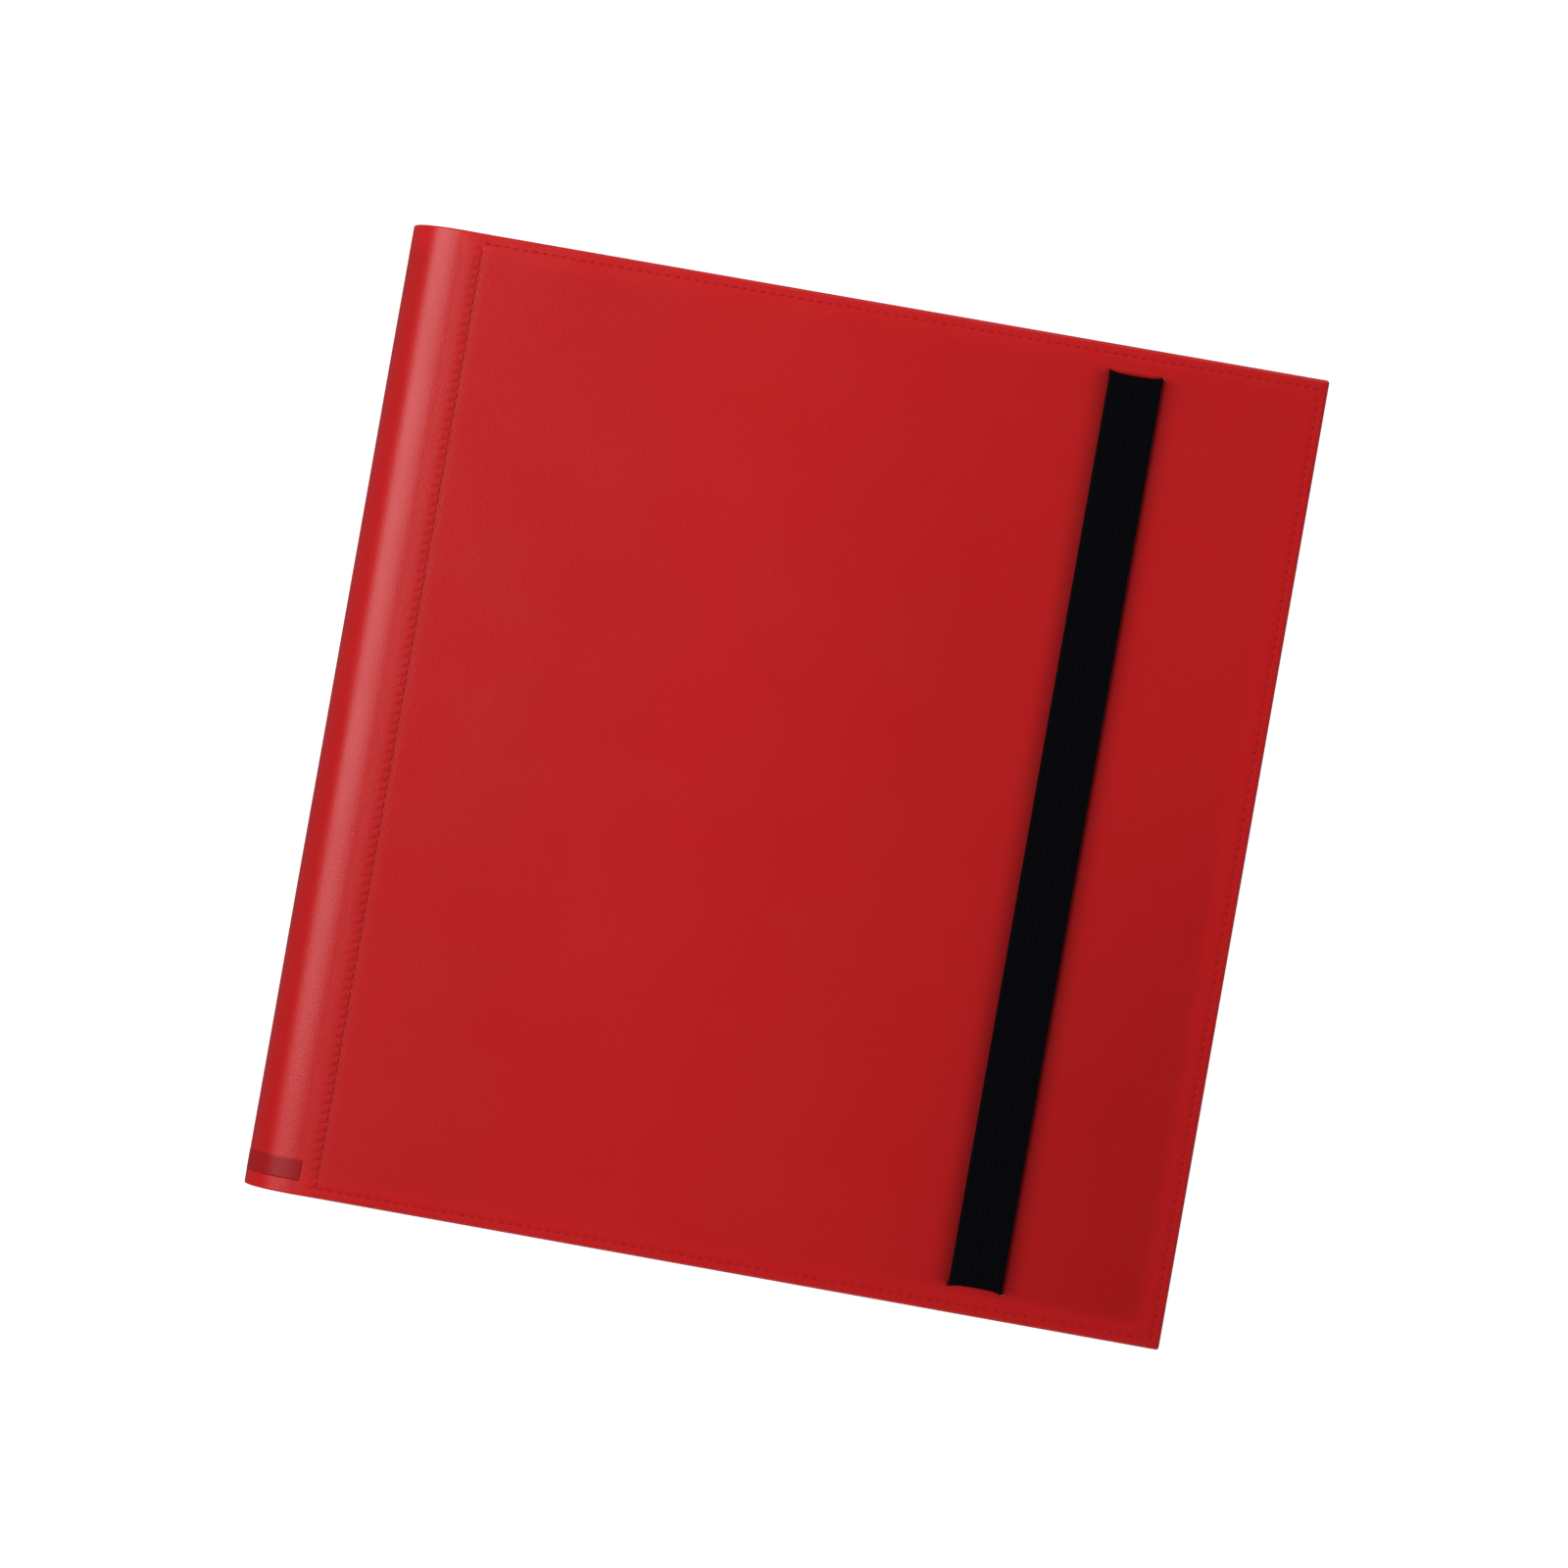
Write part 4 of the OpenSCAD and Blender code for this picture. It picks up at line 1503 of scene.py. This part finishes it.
@dataclass
class Leaf:
    """One pocket leaf: a sheet joined to the binding strip, with films on both faces.

    Attributes:
        number: Its number, from the back cover.
        plan: The album's places.
        finishes: The materials.
        columns: Pockets across the leaf.
        rows: Pockets up the leaf.
        weld: Width of the welds.
        film_t: Thickness of the film.
        tab_pitch: Distance between neighbouring leaves at the strip.
    """

    number: int
    plan: AlbumPlan
    finishes: Finishes
    columns: int = 4
    rows: int = 3
    weld: float = 2.0 * MM
    film_t: float = 0.1 * MM
    tab_pitch: float = 1.0 * MM

    @property
    def tag(self) -> str:
        """The leaf's number as two digits."""
        return f"{self.number:02d}"

    def route(self, x: np.ndarray, strip_x: float, sheet: tuple[Vector, Vector]) -> np.ndarray:
        """Height of the sheet's middle: from its tab at the strip it rises or falls smoothly.

        z = tab + (leaf - tab) smoothstep((x - strip) / (sheet start - strip)).

        Args:
            x: X of the points.
            strip_x: X of the strip's face.
            sheet: Box of the sheet.

        Returns:
            Z of the points.
        """
        leaf_z = (sheet[0].z + sheet[1].z) / 2.0
        tab_z = self.plan.mid_z + (self.number - (LEAVES + 1) / 2.0) * self.tab_pitch
        rise = smoothstep((x - strip_x - 1.5 * MM) / (sheet[0].x - strip_x - 1.5 * MM))
        return tab_z + (leaf_z - tab_z) * rise

    def drift(self, x: np.ndarray, y: np.ndarray, sheet_x: float) -> np.ndarray:
        """The leaf's own faint waviness: 0.05 mm sin(22 y + number), grown over 40 mm."""
        return 0.05 * MM * np.sin(22.0 * y + self.number) * smoothstep((x - sheet_x) / (40.0 * MM))

    def sheet(self) -> None:
        """The black sheet, from inside the strip to its rounded fore corners."""
        low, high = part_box(f"page_sheet_{self.tag}")
        strip_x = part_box("binding_strip")[1].x
        half_t, corner = (high.z - low.z) / 2.0, 2.2 * MM
        spans = [(strip_x - 0.2 * MM, low.x, 0.6 * MM), (low.x, high.x - corner, 12.0 * MM)]
        lines_x = ruled(*spans, (high.x - corner, high.x, 0.5 * MM))
        share = mirrored(ruled((0.0, 0.96, 0.06), (0.96, 1.0, 0.008)))
        x, v = np.meshgrid(lines_x, share, indexing="ij")
        narrow = 2.0 * MM * (1.0 - smoothstep((x - low.x + 1.5 * MM) / (3.0 * MM)))
        out = np.clip((x - high.x + corner) / corner, 0.0, 1.0)
        rounding = corner * (1.0 - np.sqrt(np.maximum(1.0 - np.square(out), 0.0)))
        y = v * (high.y - narrow - rounding)
        z = self.route(x, strip_x, (low, high)) + self.drift(x, y, low.x)
        ends = 1.0 - 0.6 * smoothstep((x - high.x + 0.3 * MM) / (0.3 * MM))
        upper = np.stack([x, y, z + half_t * ends], axis=-1)
        under = np.stack([x, y, z - half_t * ends], axis=-1)
        piece = make_piece(f"leaf_{self.tag}_sheet", slab(upper, under), self.finishes.sheet)
        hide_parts(f"page_sheet_{self.tag}", "page_tabs")
        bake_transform(piece)

    def film(self, column: int, face: float) -> Surface:
        """The film over one column of pockets.

        It is held down at the welds along the rows and the fore-edge side, puffs up over
        each pocket as sin(pi t) between its welds, and has a thumb notch of 7 mm in the
        middle of each mouth.

        Args:
            column: Number of the column, from the spine.
            face: 1 for the upper face and -1 for the under face.

        Returns:
            The film.
        """
        low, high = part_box(f"page_pockets_{self.tag}")
        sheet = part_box(f"page_sheet_{self.tag}")
        leaf_z, half_t = (sheet[0].z + sheet[1].z) / 2.0, (sheet[1].z - sheet[0].z) / 2.0
        slit = 0.4 * MM
        wide = (high.x - low.x + slit) / self.columns
        start, width = low.x + column * wide, wide - slit
        tall = (high.y - low.y - self.weld) / self.rows
        inner_w = width - self.weld
        mouth = ruled((0.0, 2.0 * MM, 1.0 * MM), (2.0 * MM, 10.0 * MM, 2.0 * MM))
        seam = inner_w + ruled((0.2 * MM, self.weld, 0.9 * MM))
        across = [mouth, ruled((10.0 * MM, inner_w, 12.0 * MM)), seam]
        weld = ruled((0.0, self.weld, 1.0 * MM))
        beside = self.weld + ruled((0.3 * MM, 1.5 * MM, 0.6 * MM))
        row = [weld, beside, ruled((8.0 * MM, tall - 6.0 * MM, 6.5 * MM)), tall - np.array([1.5, 0.3]) * MM]
        row = np.concatenate(row)
        up = [row + r * tall for r in range(self.rows)] + [weld + self.rows * tall]
        u, v = np.meshgrid(sorted_lines(*across), sorted_lines(*up), indexing="ij")
        in_row = np.mod(v, tall)
        pocket_v = np.clip((in_row - self.weld) / (tall - self.weld), 0.0, 1.0)
        pocket_v = np.where(v > self.rows * tall, 0.0, pocket_v)
        open_v = smoothstep(np.minimum(pocket_v, 1.0 - pocket_v) * tall / (1.5 * MM))
        open_u = smoothstep((inner_w - u) / (1.5 * MM))
        gap = (0.12 * MM) * open_u * open_v
        notch = 7.0 * MM * (1.0 - smoothstep(np.abs(pocket_v - 0.5) * tall / (12.0 * MM))) * (pocket_v > 0)
        x = start + u + notch * np.clip(1.0 - u / (24.0 * MM), 0.0, 1.0)
        y = low.y + v
        base = leaf_z + self.drift(x, y, sheet[0].x) + face * (half_t + gap)
        near = np.stack([x, y, base], axis=-1)
        away = np.stack([x, y, base + face * self.film_t * (0.55 + 0.45 * open_u * open_v)], axis=-1)
        return slab(away, near)

    def films(self) -> None:
        """The films on both faces of the leaf."""
        parts = [self.film(column, face) for face in (1.0, -1.0) for column in range(self.columns)]
        piece = make_piece(f"leaf_{self.tag}_pockets", joined(parts), self.finishes.film)
        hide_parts(f"page_pockets_{self.tag}")
        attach(piece, f"page_{self.tag}")

    def build(self) -> None:
        """Builds the sheet and its films."""
        self.sheet()
        self.films()


# ---------------------------------------------------------------------------
# Strap
# ---------------------------------------------------------------------------


@dataclass
class Strap:
    """The elastic strap: a band in two halves, and an end under the lining at either side.

    Attributes:
        plan: The album's places.
        slots: The slots that it goes through.
        finishes: The materials.
        thick: Its thickness.
        bend_r: Radius of its bend into a slot.
        tuck_r: Radius of its bend under the board.
        ribs: Number of ribs across it.
        rib_h: Height of a rib.
    """

    plan: AlbumPlan
    slots: Slots
    finishes: Finishes
    thick: float = 1.0 * MM
    bend_r: float = 1.25 * MM
    tuck_r: float = 0.55 * MM
    ribs: int = 18
    rib_h: float = 0.05 * MM

    def sweep(self, path: np.ndarray, side: float) -> Surface:
        """Carries the strap's section along a path in Y and Z.

        The section has half-thickness h (1 - s^16)^(1/2) + ribs, where s runs from -1 to 1
        across it and a rib is a cosine. It stands square to the path.

        Args:
            path: Y and Z of the path's points, for the half towards the head.
            side: 1 for the head and -1 for the tail.

        Returns:
            The swept strap.
        """
        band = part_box("strap_band")
        half_w = (band[1].x - band[0].x) / 2.0
        share = sorted_lines(np.linspace(-1, 1, self.ribs * 5 + 1), np.array([-0.995, -0.985, 0.985, 0.995]))
        half_t = (self.thick / 2.0 - self.rib_h) * np.sqrt(np.maximum(1.0 - share**16, 0.6))
        half_t = half_t + self.rib_h * np.cos(math.pi * self.ribs * share) * (1.0 - share**8)
        heading = np.gradient(path, axis=0)
        heading /= np.linalg.norm(heading, axis=1, keepdims=True)
        normal = np.stack([-heading[:, 1], heading[:, 0]], axis=1)
        length = np.concatenate([[0.0], np.cumsum(np.linalg.norm(np.diff(path, axis=0), axis=1))])
        faces = []
        for sign in (1.0, -1.0):
            y = path[:, None, 0] + sign * normal[:, None, 0] * half_t[None, :]
            z = path[:, None, 1] + sign * normal[:, None, 1] * half_t[None, :]
            x = np.broadcast_to(self.slots.x + share * half_w, y.shape)
            y = self.slots.drawn(x, y) * side
            faces.append(np.stack([x, y, z], axis=-1))
        uv = np.stack(np.broadcast_arrays((share * half_w)[None, :], length[:, None]), axis=-1)
        return slab(*faces, uv=uv)

    def arc(self, centre: tuple[float, float], radius: float, start: float, end: float) -> np.ndarray:
        """Points of an arc in Y and Z, with angles in degrees from +Y towards +Z."""
        turn = np.radians(np.linspace(start, end, 9))
        return np.stack([centre[0] + radius * np.cos(turn), centre[1] + radius * np.sin(turn)], axis=1)

    def build(self) -> None:
        """Builds both halves of the band and both tucked ends."""
        band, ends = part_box("strap_band"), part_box("strap_ends")
        top_z = (band[0].z + band[1].z) / 2.0
        leg_y = ends[1].y - self.thick / 2.0
        tuck_z = ends[0].z + self.thick / 2.0
        bend_y, bend_z = leg_y - self.bend_r, top_z - self.bend_r
        straight = np.linspace(0.0, bend_y, 30)[:-1]
        lying = np.stack([straight, np.full_like(straight, top_z)], axis=1)
        over = np.concatenate([lying, self.arc((bend_y, bend_z), self.bend_r, 90.0, 0.0)])
        tuck = self.arc((leg_y - self.tuck_r, tuck_z + self.tuck_r), self.tuck_r, 0.0, -90.0)
        inward = np.linspace(leg_y - self.tuck_r, ends[1].y - 22.5 * MM, 9)[1:]
        tail = np.stack([inward, np.full_like(inward, tuck_z)], axis=1)
        leg = np.array([[leg_y, bend_z], [leg_y, (bend_z + tuck_z + self.tuck_r) / 2.0]])
        under = np.concatenate([leg, tuck, tail])
        for side, word in ((1.0, "head"), (-1.0, "tail")):
            half = make_piece(f"strap_band_{word}", self.sweep(over, side), self.finishes.elastic)
            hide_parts("strap_band")
            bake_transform(half)
            end = make_piece(f"strap_end_{word}", self.sweep(under, side), self.finishes.elastic)
            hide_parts("strap_ends")
            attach(end, "front_cover")


# ---------------------------------------------------------------------------
# Studio
# ---------------------------------------------------------------------------


@dataclass(frozen=True)
class SoftBox:
    """A large soft light.

    Attributes:
        name: Its name.
        place: Where it stands.
        size: Its width and height.
        watts: Its power.
    """

    name: str
    place: tuple[float, float, float]
    size: tuple[float, float]
    watts: float

    def build(self) -> None:
        """Sets the light up, aimed at the album."""
        lamp = bpy.data.lights.new(self.name, "AREA")
        lamp.shape = "RECTANGLE"
        lamp.size, lamp.size_y = self.size
        lamp.energy = self.watts
        stand = bpy.data.objects.new(self.name, lamp)
        stand.location = self.place
        stand.rotation_euler = (-Vector(self.place)).to_track_quat("-Z", "Y").to_euler()
        bpy.context.scene.collection.objects.link(stand)


@dataclass(frozen=True)
class Studio:
    """Camera, soft lights, surround and floor.

    Attributes:
        away: Distance of the camera along its own axis.
        tilt: Turns about the camera's X, Y and Z axes, in degrees.
        slide: How far the album's origin lies right of and above the camera's axis.
        lens: Focal length in millimetres on a sensor 36 mm wide.
        boxes: The lights.
        surround: Strength of the even light from all sides.
        glow: Light of the floor and the surround towards the camera, so that they stay white.
    """

    away: float = 2.0
    tilt: tuple[float, float, float] = (-0.302, -2.067, -10.048)
    slide: tuple[float, float] = (0.78 * MM, -0.28 * MM)
    lens: float = 140.69
    boxes: tuple[SoftBox, ...] = (
        SoftBox("key_left", (-0.94, 0.2, 1.05), (0.8, 0.95), 21.3),
        SoftBox("fill_head", (0.4, 1.15, 0.75), (1.4, 0.7), 8.5),
        SoftBox("fill_right", (1.3, -0.25, 0.24), (1.2, 0.4), 3.5),
        SoftBox("fill_tail", (-0.05, -1.3, 0.24), (1.2, 0.4), 6.0),
    )
    surround: float = 0.05
    glow: float = 0.97

    def camera(self) -> None:
        """Places the camera: the view matrix is a slide after turns about Z, Y and X."""
        x, y, z = (Matrix.Rotation(math.radians(t), 4, axis) for t, axis in zip(self.tilt, "XYZ"))
        view = Matrix.Translation((*self.slide, -self.away)) @ z @ y @ x
        lens = bpy.data.cameras.new("camera")
        lens.lens = self.lens
        lens.sensor_width = 36.0
        eye = bpy.data.objects.new("camera", lens)
        eye.matrix_world = view.inverted()
        bpy.context.scene.collection.objects.link(eye)
        bpy.context.scene.camera = eye

    def floor(self) -> None:
        """A wide pale sheet just under the album, with a faint mottle."""
        half, drop, thick = 40.0, 0.15 * MM, 10.0 * MM
        lines = np.linspace(-half, half, 9)
        x, y = np.meshgrid(lines, lines, indexing="ij")
        top = np.stack([x, y, np.full_like(x, -drop)], axis=-1)
        under = top - np.array([0.0, 0.0, thick])
        bench = NodeBench("studio_paper")
        bench.colour(bench.mixed(bench.noise(3.0), (0.11, 0.11, 0.11), (0.13, 0.13, 0.13)))
        seen = bench.add("ShaderNodeLightPath").outputs["Is Camera Ray"]
        bench.link(bench.sum("MULTIPLY", seen, self.glow), bench.shader.inputs["Emission Strength"])
        bench.fix(Roughness=0.9, Emission_Color=(1.0, 1.0, 1.0, 1.0))
        make_piece("studio_floor", slab(top, under), bench.material)

    def surroundings(self) -> None:
        """The even light from all sides, which the camera itself sees as white."""
        world = bpy.data.worlds.new("surround")
        world.use_nodes = True
        tree = world.node_tree
        paths, strength = tree.nodes.new("ShaderNodeLightPath"), tree.nodes.new("ShaderNodeMath")
        strength.operation = "MULTIPLY_ADD"
        strength.inputs[1].default_value = self.glow - self.surround
        strength.inputs[2].default_value = self.surround
        tree.links.new(paths.outputs["Is Camera Ray"], strength.inputs[0])
        background = tree.nodes["Background"]
        background.inputs["Color"].default_value = (1.0, 1.0, 1.0, 1.0)
        tree.links.new(strength.outputs[0], background.inputs["Strength"])
        bpy.context.scene.world = world

    def build(self) -> None:
        """Sets the studio up."""
        self.camera()
        self.floor()
        for box in self.boxes:
            box.build()
        self.surroundings()
        bpy.context.scene.view_settings.view_transform = "Standard"


def main() -> None:
    """Builds the album round its frame, in order, and the studio round the album."""
    logging.basicConfig(level=logging.INFO, format="%(name)s %(message)s")
    Studio().build()
    plan, hem, finishes = AlbumPlan.from_frame(), HemProfile(), Finishes()
    slots = Slots.from_frame()
    Cover(Side.BACK, plan, hem, None, finishes).build()
    Cover(Side.FRONT, plan, hem, slots, finishes).build()
    Spine(plan, hem, finishes).build()
    for number in range(1, LEAVES + 1):
        Leaf(number, plan, finishes).build()
    Strap(plan, slots, finishes).build()


if __name__ == "__main__":
    main()
